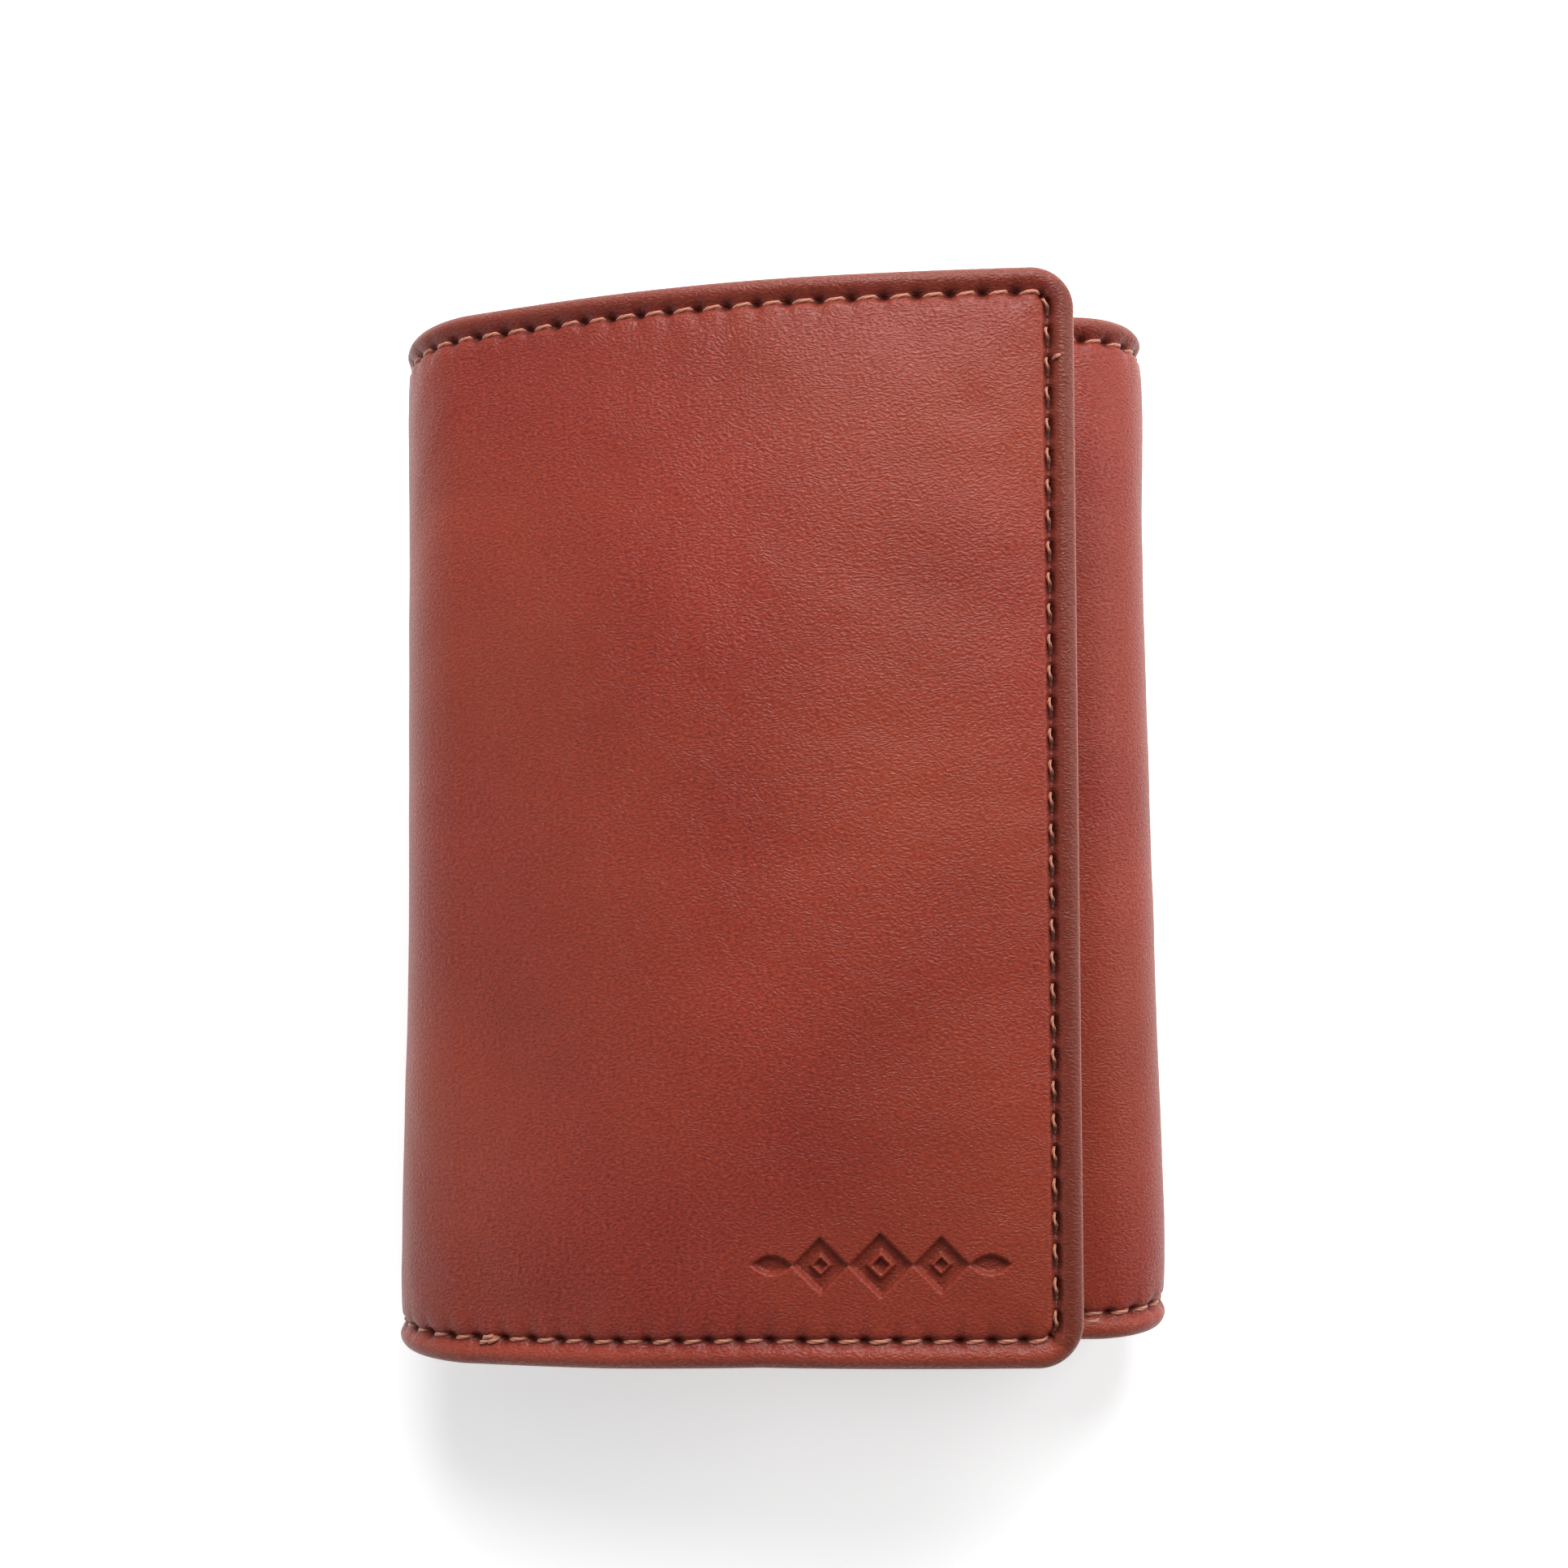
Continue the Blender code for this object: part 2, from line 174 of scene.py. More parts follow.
def read_profile():
    """The hide's outer surface seen along Y, as (x, z, direction) for each stretch."""
    left_x, _, left_edge, left_top = box_xz("left_fold_leather")
    right_edge, _, right_x, _ = box_xz("right_fold_leather")
    tip_x, tip_z, _, _ = box_xz("inner_flap_leather")
    _, _, free_x, free_z = box_xz("outer_flap_leather")
    left_radius = left_edge - left_x
    right_radius = right_x - right_edge
    left = (left_edge, left_radius)
    right = (right_edge, right_radius)
    rise = math.acos((left_top - left_radius) / left_radius)
    quarter = math.pi / 2
    right_top = (right[0], 2 * right_radius)
    inner_tip = (tip_x, tip_z + LEATHER * math.cos(INNER_TIP_SLOPE))
    left_end = (left[0] - left_radius * math.sin(rise), left_top)
    return {
        "inner_flap": bow(inner_tip, INNER_TIP_SLOPE, right_top, 0),
        "right_fold_upper": arc(right, right_radius, 0, quarter),
        "right_fold_lower": arc(right, right_radius, -quarter, quarter),
        "centre": straight((right[0], 0), (left[0], 0), -math.pi),
        "left_fold_lower": arc(left, left_radius, -math.pi, quarter),
        "left_fold_upper": arc(left, left_radius, -3 * quarter, quarter - rise),
        "outer_flap": bow(left_end, rise, (free_x, free_z), 0, turns=-1),
    }


def measure_profile(profile):
    """(along, x, z, direction) down the whole profile, and where each stretch starts and ends."""
    rows, spans, reached = [], {}, 0.0
    for name, stretch in profile.items():
        steps = np.hypot(*np.diff(stretch[:, :2], axis=0).T)
        along = reached + np.concatenate([[0], np.cumsum(steps)])
        spans[name] = (reached, along[-1])
        rows.append(np.column_stack([along, stretch]))
        reached = along[-1]
    return np.vstack(rows), spans


TABLE, SPANS = measure_profile(read_profile())
HIDE_LENGTH = TABLE[-1, 0]
HALF_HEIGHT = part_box("centre_leather")[1].y


def smooth_step(value, start, end):
    share = np.clip((value - start) / (end - start), 0, 1)
    return share * share * (3 - 2 * share)


def hump(value, width, power=2):
    """1 at zero, fading to 0 past the given width. Higher powers have flatter tops and steeper sides."""
    return np.exp(-((value / width) ** power))


def key_places():
    """Places along the hide where its edges depart from straight lines, from the tip to the free edge."""
    inner, right = SPANS["inner_flap"], SPANS["right_fold_lower"]
    lower, upper, outer = (SPANS[name] for name in ("left_fold_lower", "left_fold_upper", "outer_flap"))
    middle = (outer[0] + outer[1]) / 2
    quarter = (outer[0] + middle) / 2
    return [*inner, *right, *lower, upper[1], quarter, middle, outer[1]]


KEY_PLACES = key_places()


def settle(along, across):
    """How far a real, well-used hide lies from the plain one: shifts in X and in Y."""
    upper = np.interp(along, KEY_PLACES, UPPER_EDGE_SHIFT) * MM
    lower = np.interp(along, KEY_PLACES, LOWER_EDGE_SHIFT) * MM
    share = (across + HALF_HEIGHT) / (2 * HALF_HEIGHT)
    bend = SPANS["left_fold_upper"][0]
    at_left_fold = hump(along - bend, LEFT_FOLD_REACH)
    pressed = LEFT_FOLD_PRESS * (0.15 + 0.85 * smooth_step(across, -45 * MM, -2 * MM))
    pressed = pressed + LEFT_FOLD_SINK * (1 - (across / HALF_HEIGHT) ** 6)
    at_right_fold = hump(along - SPANS["right_fold_lower"][0], RIGHT_FOLD_REACH)
    at_right_fold = at_right_fold * (1.4 - 1.5 * smooth_step(across, 30 * MM, 52 * MM))
    lean = FREE_EDGE_LEAN[0] + (FREE_EDGE_LEAN[1] - FREE_EDGE_LEAN[0]) * share
    at_free_edge = smooth_step(along, KEY_PLACES[-2], HIDE_LENGTH)
    shift_x = pressed * at_left_fold - RIGHT_FOLD_PRESS * at_right_fold + lean * at_free_edge
    return shift_x, lower + (upper - lower) * share


def wrap(along, across, depth):
    """Flat coordinates to points in space, with arrays of any one shape."""
    x = np.interp(along, TABLE[:, 0], TABLE[:, 1])
    z = np.interp(along, TABLE[:, 0], TABLE[:, 2])
    direction = np.interp(along, TABLE[:, 0], TABLE[:, 3])
    shift_x, shift_y = settle(along, across)
    return np.stack([
        x + depth * np.sin(direction) + shift_x,
        across + shift_y,
        z - depth * np.cos(direction),
    ], axis=-1)


# ---------------------------------------------------------------- smooth random fields

class Field:
    """Smooth noise between -1 and 1 over the hide, seeded, with features of the given size."""

    SIDE = 64

    def __init__(self, seed, size_along, size_across):
        self.values = np.random.default_rng(RNG_SEED + seed).uniform(-1, 1, (self.SIDE, self.SIDE))
        self.size = (size_along, size_across)

    def __call__(self, along, across):
        u = along / self.size[0]
        v = (across + 1.0) / self.size[1]
        i, j = np.floor(u).astype(int), np.floor(v).astype(int)
        a, b = u - i, v - j
        a, b = a * a * (3 - 2 * a), b * b * (3 - 2 * b)
        side, grid = self.SIDE, self.values
        near = grid[i % side, j % side] * (1 - a) + grid[(i + 1) % side, j % side] * a
        far = grid[i % side, (j + 1) % side] * (1 - a) + grid[(i + 1) % side, (j + 1) % side] * a
        return near * (1 - b) + far * b


class Grid:
    """Heights on an even grid over part of the hide, read with a cubic spline, and 0 outside it."""

    def __init__(self, heights, start, low, step_along, step_across):
        self.heights = np.pad(heights, 2)
        self.origin = (start - 2 * step_along, low - 2 * step_across)
        self.steps = (step_along, step_across)

    @staticmethod
    def weights(t):
        second = (3 * t**3 - 6 * t**2 + 4) / 6
        third = (1 + 3 * t + 3 * t**2 - 3 * t**3) / 6
        return (1 - t) ** 3 / 6, second, third, t**3 / 6

    def __call__(self, along, across):
        u = (along - self.origin[0]) / self.steps[0]
        v = (across - self.origin[1]) / self.steps[1]
        rows, columns = self.heights.shape
        u, v = np.clip(u, 1, rows - 2.001), np.clip(v, 1, columns - 2.001)
        i, j = np.floor(u).astype(int), np.floor(v).astype(int)
        along_weights, across_weights = self.weights(u - i), self.weights(v - j)
        total = 0.0
        for a in range(4):
            for b in range(4):
                total = total + along_weights[a] * across_weights[b] * self.heights[i + a - 1, j + b - 1]
        return total


def pinned_cloth(rows, columns):
    """A flat sheet of cloth, pinned all round."""
    mesh = bpy.data.meshes.new("pad_cloth")
    step = PAD_STEP * PAD_SCALE
    places = [(i * step, j * step, 0) for i in range(rows) for j in range(columns)]
    mesh.from_pydata(places, [], grid_quads(rows, columns))
    cloth = bpy.data.objects.new("pad_cloth", mesh)
    bpy.context.scene.collection.objects.link(cloth)
    rim = [k for k in range(rows * columns)
           if k // columns in (0, rows - 1) or k % columns in (0, columns - 1)]
    cloth.vertex_groups.new(name="pinned").add(rim, 1.0, "REPLACE")
    return cloth


def inflate(rows, columns):
    """A pinned sheet of cloth blown up a little by Blender's cloth solver. Heights from 0 to 1."""
    cloth = pinned_cloth(rows, columns)
    modifier = cloth.modifiers.new("cloth", "CLOTH")
    settings = modifier.settings
    settings.quality = 6
    settings.mass = 0.3
    settings.tension_stiffness = settings.compression_stiffness = 18
    settings.bending_stiffness = 0.8
    settings.shrink_min = PAD_SLACK
    settings.vertex_group_mass = "pinned"
    settings.use_pressure = True
    settings.uniform_pressure_force = PAD_PRESSURE
    settings.effector_weights.gravity = 0
    modifier.collision_settings.use_self_collision = False
    scene = bpy.context.scene
    for number in range(1, PAD_FRAMES + 1):
        scene.frame_set(number)
    settled = cloth.evaluated_get(bpy.context.evaluated_depsgraph_get()).to_mesh()
    heights = np.array([point.co.z for point in settled.vertices]).reshape(rows, columns)
    scene.frame_set(1)
    bpy.data.objects.remove(cloth, do_unlink=True)
    heights = heights * np.sign(heights.sum())
    return heights / heights.max()


def grid_quads(rows, columns):
    corners = np.arange(rows * columns).reshape(rows, columns)
    return np.stack(
        [corners[:-1, :-1], corners[1:, :-1], corners[1:, 1:], corners[:-1, 1:]], axis=-1
    ).reshape(-1, 4).tolist()


def make_pads():
    """The padding's swell in the two flaps, between their stitched rows and the start of their fold."""
    pads = {}
    for body in ("inner_flap", "outer_flap"):
        start, end = SPANS[body]
        start = ROW_INSET if body == "inner_flap" else start - PAD_OVERLAP
        end = HIDE_LENGTH - ROW_INSET if body == "outer_flap" else end + PAD_OVERLAP
        rows = round((end - start) / PAD_STEP) + 1
        columns = round(2 * ROW / PAD_STEP) + 1
        heights = inflate(rows, columns)
        pads[body] = Grid(heights, start, -ROW, (end - start) / (rows - 1), 2 * ROW / (columns - 1))
    return pads


SAG = Field(1, 23 * MM, 29 * MM)
WAVES = Field(2, 9 * MM, 5.5 * MM)
CREASES = Field(3, 3.4 * MM, 1.9 * MM)


# ---------------------------------------------------------------- the stitched row round the hide

ROW = HALF_HEIGHT - ROW_INSET
LONG_RUN = HIDE_LENGTH - 2 * ROW_INSET
SHORT_RUN = 2 * ROW
LONG_COUNT = round(LONG_RUN / STITCH_PITCH)
SHORT_COUNT = round(SHORT_RUN / STITCH_PITCH)
PADS = make_pads()


def row_phase(along, across):
    """Where a point is beside the row, in stitches, and whether that row runs along one of the two ends.

    Whole numbers are needle holes."""
    to_end = np.minimum(along, HIDE_LENGTH - along)
    to_side = HALF_HEIGHT - np.abs(across)
    by_side = (along - ROW_INSET) * LONG_COUNT / LONG_RUN
    by_end = (across + ROW) * SHORT_COUNT / SHORT_RUN
    at_end = to_side > to_end
    return np.where(at_end, by_end, by_side), at_end


def rim_relief(edge, phase, at_end):
    """How far the rim and the stitched channel lie under the plain surface.

    Along the two ends the thread is pulled into narrow slots; elsewhere it lies in a puckered channel."""
    off_row = edge - ROW_INSET
    inside = np.clip(off_row, 0, None)
    outside = np.clip(-off_row, 0, None)
    at_hole = 0.5 + 0.5 * np.cos(2 * np.pi * phase)
    wide = np.where(off_row < 0, 0.70 * MM, 0.40 * MM)
    channel = CHANNEL_DEPTH * hump(off_row, wide)
    pucker = PUCKER_DEPTH * at_hole**2 * np.exp(-inside / (0.95 * MM) - outside / (0.60 * MM))
    to_hole = np.abs(phase - np.round(phase)) * STITCH_PITCH
    pit = PIT_DEPTH * hump(to_hole, 0.50 * MM) * hump(off_row, 0.36 * MM)
    narrow = np.where(off_row < 0, 0.50 * MM, 0.30 * MM)
    slot = SLOT_DEPTH * (1 - 0.5 * at_hole**3) * hump(off_row, narrow)
    crown = -CROWN_HEIGHT * hump(edge - 1.25 * MM, 0.7 * MM)
    return crown + np.where(at_end, slot, channel + pucker + pit)


def padding_swell(along, across, edge):
    """How far the padding lifts the leather: the simulated pads, faded out where the folds pull tight."""
    inside = np.clip(edge - ROW_INSET, 0, None)
    height = 0.0
    for body, pad in PADS.items():
        height = height + pad(along, across) * PUFF[body]
    shoulder = 1 - np.exp(-inside / (2.4 * MM))
    return height + SHOULDER_HEIGHT * shoulder


def hide_relief(along, across, edge):
    """Depth of the hide's outer surface: pads, slack, fine creases, rim and stitching."""
    inside = np.clip(edge - ROW_INSET, 0, None)
    slack = SAG_HEIGHT * SAG(along, across) + WAVE_HEIGHT * WAVES(along, across)
    near_row = np.exp(-inside / (3.0 * MM))
    creases = CREASE_HEIGHT * CREASES(along, across) * (0.3 + near_row)
    back_start, back_end = SPANS["centre"]
    flat_back = smooth_step(along, back_start - 4 * MM, back_start + 2 * MM)
    flat_back *= 1 - smooth_step(along, back_end - 2 * MM, back_end + 4 * MM)
    raised = padding_swell(along, across, edge) + slack * (1 - near_row)
    raised = raised * (1 - flat_back) + creases * (edge > 0.5 * MM) * (1 - 0.7 * flat_back)
    return rim_relief(edge, *row_phase(along, across)) - raised


# ---------------------------------------------------------------- mesh building

class Lines:
    """Grid lines across a sheet in one direction, in bands.

    A line's level says who uses it: 0 is everyone, 1 all but the inner surface, 2 only fine blocks."""

    def __init__(self, start):
        self.places = [start]
        self.levels = [0]
        self.breaks = [0]
        self.detailed = []

    def add(self, places, levels, detailed):
        """Adds one band, up to and including its last line, which every block uses."""
        self.places += list(places)
        self.levels += [*list(levels)[:-1], 0]
        self.breaks.append(len(self.places) - 1)
        self.detailed.append(detailed)

    def plain(self, end, coarse, fine, detailed=False):
        """A band of even lines: fine blocks have more between them, and the inner surface uses a third."""
        start = self.places[-1]
        count = max(round((end - start) / coarse), 1)
        split = max(round(coarse / fine), 1)
        steps = np.arange(1, count * split + 1)
        levels = np.where(steps % split, 2, np.where(steps // split % 3, 1, 0))
        self.add(start + (end - start) * steps / (count * split), levels, detailed)

    def rim(self, end, fine, roll, opening):
        """A band beside an open edge, with lines very close together where the edge rolls over."""
        start = self.places[-1]
        turn = roll * (1 - np.cos(np.radians(np.linspace(0, 90, 8))))
        width = end - start
        flat = np.linspace(roll, width, max(round((width - roll) / fine), 1) + 1)[1:]
        offsets = np.concatenate([turn, flat])
        flat_levels = np.where(np.arange(1, len(flat) + 1) % 4, 1, 0)
        levels = np.concatenate([np.zeros(len(turn), int), flat_levels])
        if opening:
            self.add(start + offsets[1:], levels[1:], True)
        else:
            self.add(end - offsets[::-1][1:], levels[::-1][1:], True)

    def join(self, end):
        """One hair-wide band at a join, so that both neighbours take the true slope there."""
        self.add([end], [0], False)


def sheet_lines(start, end, coarse, fine, roll, open_start=True, open_end=True, details=()):
    """Lines from start to end: rims at open edges, hairs at joins, and fine bands for details between."""
    lines = Lines(start)
    if open_start:
        lines.rim(start + RIM_BAND, fine, roll, True)
    else:
        lines.join(start + JOIN_LINE)
    last = end - (RIM_BAND if open_end else JOIN_LINE)
    for low, high, step in details:
        lines.plain(low, coarse, fine)
        lines.plain(high, coarse, step, detailed=True)
    lines.plain(last, coarse, fine)
    if open_end:
        lines.rim(end, fine, roll, False)
    else:
        lines.join(end)
    return lines


def block_indices(lines, band, level):
    """The lines that one band has at this level."""
    first, last = lines.breaks[band], lines.breaks[band + 1]
    return [k for k in range(first, last + 1) if lines.levels[k] <= level]


def cell_faces(rows, columns, used, columns_total):
    """Faces of one block; a cell beside a finer block takes in that block's extra corners."""
    grid = np.array(rows)[:, None] * columns_total + np.array(columns)[None, :]
    quads = np.stack([grid[:-1, :-1], grid[1:, :-1], grid[1:, 1:], grid[:-1, 1:]], axis=-1)
    border = np.zeros(quads.shape[:2], bool)
    border[[0, -1], :] = True
    border[:, [0, -1]] = True
    faces = quads[~border].tolist()
    for i, j in np.argwhere(border):
        i0, i1, j0, j1 = rows[i], rows[i + 1], columns[j], columns[j + 1]
        ring = [(k, j0) for k in range(i0, i1)]
        ring += [(i1, k) for k in range(j0, j1)]
        ring += [(k, j1) for k in range(i1, i0, -1)]
        ring += [(i0, k) for k in range(j1, j0, -1)]
        faces.append([r * columns_total + c for r, c in ring if used[r, c]])
    return faces


def surface(along_lines, across_lines, is_fine, coarse_level):
    """(used corners, faces) of one surface; is_fine says whether a block of bands takes every line."""
    shape = (len(along_lines.places), len(across_lines.places))
    used = np.zeros(shape, bool)
    blocks = []
    for p in range(len(along_lines.detailed)):
        for q in range(len(across_lines.detailed)):
            level = 2 if is_fine(p, q) else coarse_level
            rows = block_indices(along_lines, p, level)
            columns = block_indices(across_lines, q, level)
            used[np.ix_(rows, columns)] = True
            blocks.append((rows, columns))
    faces = []
    for rows, columns in blocks:
        faces += cell_faces(rows, columns, used, shape[1])
    return used, faces


def border_loop(rows, columns):
    """The grid's outline, in order, as (row, column) pairs."""
    loop = [(i, 0) for i in range(rows - 1)]
    loop += [(rows - 1, j) for j in range(columns - 1)]
    loop += [(i, columns - 1) for i in range(rows - 1, 0, -1)]
    loop += [(0, j) for j in range(columns - 1, 0, -1)]
    return loop


def wall_faces(top_used, bottom_used, bottom_first):
    """The narrow wall round a sheet: one face for each step of the inner surface's outline."""
    rows, columns = top_used.shape
    loop = border_loop(rows, columns)
    corners = [k for k, place in enumerate(loop) if bottom_used[place]]
    faces = []
    for k, following in zip(corners, corners[1:] + [len(loop)]):
        run = [loop[m % len(loop)] for m in range(k, following + 1)]
        upper = [i * columns + j for i, j in run if top_used[i, j]]
        lower = [bottom_first + i * columns + j for i, j in (run[0], run[-1])]
        faces.append([upper[0], lower[0], lower[1], *upper[:0:-1]])
    return faces


def round_corners(along, across, ends, low, high, radius=CORNER_RADIUS):
    """Turns the square corners at the given ends of a sheet into quarter circles."""
    for end, inwards in ends:
        for side, limit in ((1, high), (-1, -low)):
            p = radius - inwards * (along - end)
            q = side * across - (limit - radius)
            corner = (p > 0) & (q > 0)
            reach = np.where(corner, np.hypot(p, q), 1.0)
            shrink = np.where(corner, np.maximum(p, q) / reach, 1.0)
            along = np.where(corner, end + inwards * (radius - p * shrink), along)
            across = np.where(corner, side * (limit - radius + q * shrink), across)
    return along, across


def mark_sharp(mesh, rims):
    """Keeps the normals of a join's two surfaces apart from its wall's: rims are sets of vertices."""
    ends = np.empty(len(mesh.edges) * 2, np.int32)
    mesh.edges.foreach_get("vertices", ends)
    ends = ends.reshape(-1, 2)
    sharp = np.zeros(len(mesh.edges), bool)
    for rim in rims:
        flags = np.zeros(len(mesh.vertices), bool)
        flags[rim] = True
        sharp |= flags[ends].all(axis=1)
    layer = mesh.attributes.new("sharp_edge", "BOOLEAN", "EDGE")
    layer.data.foreach_set("value", sharp)


def new_object(name, points, faces, material, attributes, rims=()):
    mesh = bpy.data.meshes.new(name)
    mesh.from_pydata(points.reshape(-1, 3).tolist(), [], faces)
    mesh.materials.append(material)
    for key, values in attributes.items():
        kind, field = ("FLOAT_VECTOR", "vector") if values.ndim == 2 else ("FLOAT", "value")
        layer = mesh.attributes.new(key, kind, "POINT")
        layer.data.foreach_set(field, values.astype(np.float32).ravel())
    mesh.shade_smooth()
    if rims:
        mark_sharp(mesh, rims)
    made = bpy.data.objects.new(name, mesh)
    bpy.context.scene.collection.objects.link(made)
    return made


def roll_over(edge, roll):
    """How far a surface drops beside an open edge, where it turns through a quarter circle of radius roll."""
    left = np.clip(roll - edge, 0, None)
    return 0.97 * (roll - np.sqrt(np.clip(roll**2 - left**2, 0, None)))


def sheet_faces(along_lines, across_lines):
    """(corners used, faces) of a closed sheet, with its inner corners numbered after its outer ones."""
    last_along, last_across = len(along_lines.detailed) - 1, len(across_lines.detailed) - 1

    def is_fine(p, q):
        at_rim = p in (0, last_along) or across_lines.detailed[q]
        return (along_lines.detailed[p] and at_rim) or q in (0, last_across)

    outer_used, faces = surface(along_lines, across_lines, is_fine, 1)
    inner_used, inner_faces = surface(along_lines, across_lines, lambda p, q: False, 0)
    count = outer_used.size
    faces += [[count + corner for corner in face[::-1]] for face in inner_faces]
    faces += wall_faces(outer_used, inner_used, count)
    return np.concatenate([outer_used.ravel(), inner_used.ravel()]), faces


def sheet(name, along_lines, across_lines, outer, inner, material, ends=(), roll=HEM, warp=None,
          radius=CORNER_RADIUS, shade=None):
    """A closed sheet between two depth functions, with rolled open edges and rounded free corners.

    outer and inner take (along, across, edge) and give depths; edge is the distance to an open edge.
    An end that isn't listed in ends is a join, which is cut square."""
    along, across = np.meshgrid(along_lines.places, across_lines.places, indexing="ij")
    low, high = across_lines.places[0], across_lines.places[-1]
    edge = np.minimum(across - low, high - across)
    for end, inwards in ends:
        edge = np.minimum(edge, inwards * (along - end))
    outer_depth = outer(along, across, edge)
    inner_depth = inner(along, across, edge)
    rolled = roll_over(edge, 0.5 * roll)
    placed = round_corners(along, across, ends, low, high, radius)
    if warp:
        placed = warp(*placed)
    used, faces = sheet_faces(along_lines, across_lines)
    number = np.cumsum(used) - 1
    faces = [[number[corner] for corner in face] for face in faces]
    points = np.concatenate([
        wrap(*placed, outer_depth + rolled).reshape(-1, 3),
        wrap(*placed, inner_depth - rolled).reshape(-1, 3),
    ])
    cut = np.concatenate([
        np.stack([*placed, outer_depth], axis=-1).reshape(-1, 3),
        np.stack([*placed, inner_depth], axis=-1).reshape(-1, 3),
    ])
    count = along.size
    # The dark attribute carries painted shade, and a darker patch round the ornament, into the leather's
    # colour.
    dark = shade(along, across, edge) if shade else np.zeros(along.shape)
    dark = np.concatenate([dark.ravel(), np.zeros(count)])
    attributes = {"cut": cut[used], "edge": np.tile(edge.ravel(), 2)[used], "dark": dark[used]}
    open_ends = [end for end, _ in ends]
    grid = np.arange(count).reshape(along.shape)
    joins = [grid[k] for k in (0, -1) if along_lines.places[k] not in open_ends]
    rims = [number[rim[used[rim]]] for join in joins for rim in (join, join + count)]
    return new_object(name, points[used], faces, material, attributes, rims)


# ---------------------------------------------------------------- node materials

class Nodes:
    """Short calls for building one material's node tree."""

    def __init__(self, name):
        self.material = bpy.data.materials.new(name)
        self.material.use_nodes = True
        self.tree = self.material.node_tree
        self.shader = self.tree.nodes["Principled BSDF"]

    def node(self, kind, inputs=None, **settings):
        made = self.tree.nodes.new(kind)
        for key, value in settings.items():
            setattr(made, key, value)
        for key, value in (inputs or {}).items():
            self.set(made.inputs[key], value)
        return made

    def set(self, socket, value):
        if isinstance(value, bpy.types.NodeSocket):
            self.tree.links.new(value, socket)
        else:
            socket.default_value = value

    def math(self, operation, first, second=0.0):
        made = self.node("ShaderNodeMath", operation=operation)
        self.set(made.inputs[0], first)
        self.set(made.inputs[1], second)
        return made.outputs[0]

    def weighted(self, *parts):
        """The sum of some values, given as (value, weight) pairs."""
        total = 0.0
        for value, weight in parts:
            total = self.math("ADD", self.math("MULTIPLY", value, weight), total)
        return total

    def vector(self, operation, first, second):
        made = self.node("ShaderNodeVectorMath", operation=operation)
        self.set(made.inputs[0], first)
        self.set(made.inputs[1], second)
        return made.outputs[0]

    def attribute(self, name, output="Vector"):
        return self.node("ShaderNodeAttribute", attribute_name=name).outputs[output]

    def millimetres(self):
        """The point's flat coordinates on the hide, in millimetres."""
        return self.vector("MULTIPLY", self.attribute("cut"), (1 / MM, 1 / MM, 1 / MM))

    def noise(self, vector, scale, detail=2.0, roughness=0.5, output="Factor"):
        made = self.node(
            "ShaderNodeTexNoise",
            {"Vector": vector, "Scale": scale, "Detail": detail, "Roughness": roughness},
        )
        return made.outputs[0 if output == "Factor" else 1]

    def warp(self, place, scale, detail, reach):
        """A soft random push, by up to half of reach each way."""
        push = self.noise(place, scale, detail, 0.5, output="Color")
        push = self.vector("SUBTRACT", push, (0.5, 0.5, 0.5))
        return self.vector("MULTIPLY", push, reach)

    def ramp(self, factor, *stops):
        made = self.node("ShaderNodeValToRGB", {"Fac": factor})
        elements = made.color_ramp.elements
        while len(elements) < len(stops):
            elements.new(0.5)
        for element, (position, colour) in zip(elements, stops):
            element.position = position
            element.color = colour if len(colour) == 4 else (*colour, 1)
        return made.outputs["Color"]

    def mix(self, factor, first, second):
        made = self.node("ShaderNodeMix", data_type="RGBA")
        self.set(made.inputs["Factor"], factor)
        self.set(made.inputs["A"], first)
        self.set(made.inputs["B"], second)
        return made.outputs["Result"]

    def band(self, value, low, high, to_low=0.0, to_high=1.0):
        made = self.node("ShaderNodeMapRange", {
            "Value": value, "From Min": low, "From Max": high, "To Min": to_low, "To Max": to_high,
        })
        return made.outputs[0]

    def bump(self, height, distance, strength=1.0):
        made = self.node("ShaderNodeBump", {"Height": height, "Distance": distance, "Strength": strength})
        self.set(self.shader.inputs["Normal"], made.outputs[0])

    def principled(self, **values):
        """Sets or links the shader's inputs, such as Sheen_Weight=0.3."""
        for key, value in values.items():
            self.set(self.shader.inputs[key.replace("_", " ")], value)


def grey(value):
    return (value, value, value, 1)


LEATHER_LIGHT = (0.370, 0.058, 0.031, 1)
LEATHER_MID = (0.230, 0.028, 0.0175, 1)
LEATHER_DARK = (0.105, 0.009, 0.008, 1)
LEATHER_RUSSET = (0.260, 0.047, 0.018, 1)
# Lighter colour of the edges: wear, and a painted highlight along them.
LEATHER_EDGE = (0.40, 0.12, 0.07, 1)
# The darkest leather colour: painted shade in hollows and on rims, and the darker patch round the ornament.
LEATHER_HOLLOW = (0.045, 0.008, 0.006, 1)
THREAD_LIGHT = (0.50, 0.185, 0.105, 1)
THREAD_DARK = (0.13, 0.032, 0.018, 1)
LINING = (0.085, 0.036, 0.024, 1)
FLEECE = (0.16, 0.07, 0.05, 1)
FILM_TINT = (0.74, 0.77, 0.78, 1)


# The leather's grain, for each millimetre along and across: small cells, and longer wrinkles over them.
PEBBLES = (1.75, 2.95)
WRINKLES = (2.5, 4.3)
GRAIN_DEPTH = 0.085 * MM
# How far the lighter edge reaches: wear, and a painted highlight along the rolled edge.
WORN_AND_HIGHLIT_RIM = 2.30 * MM


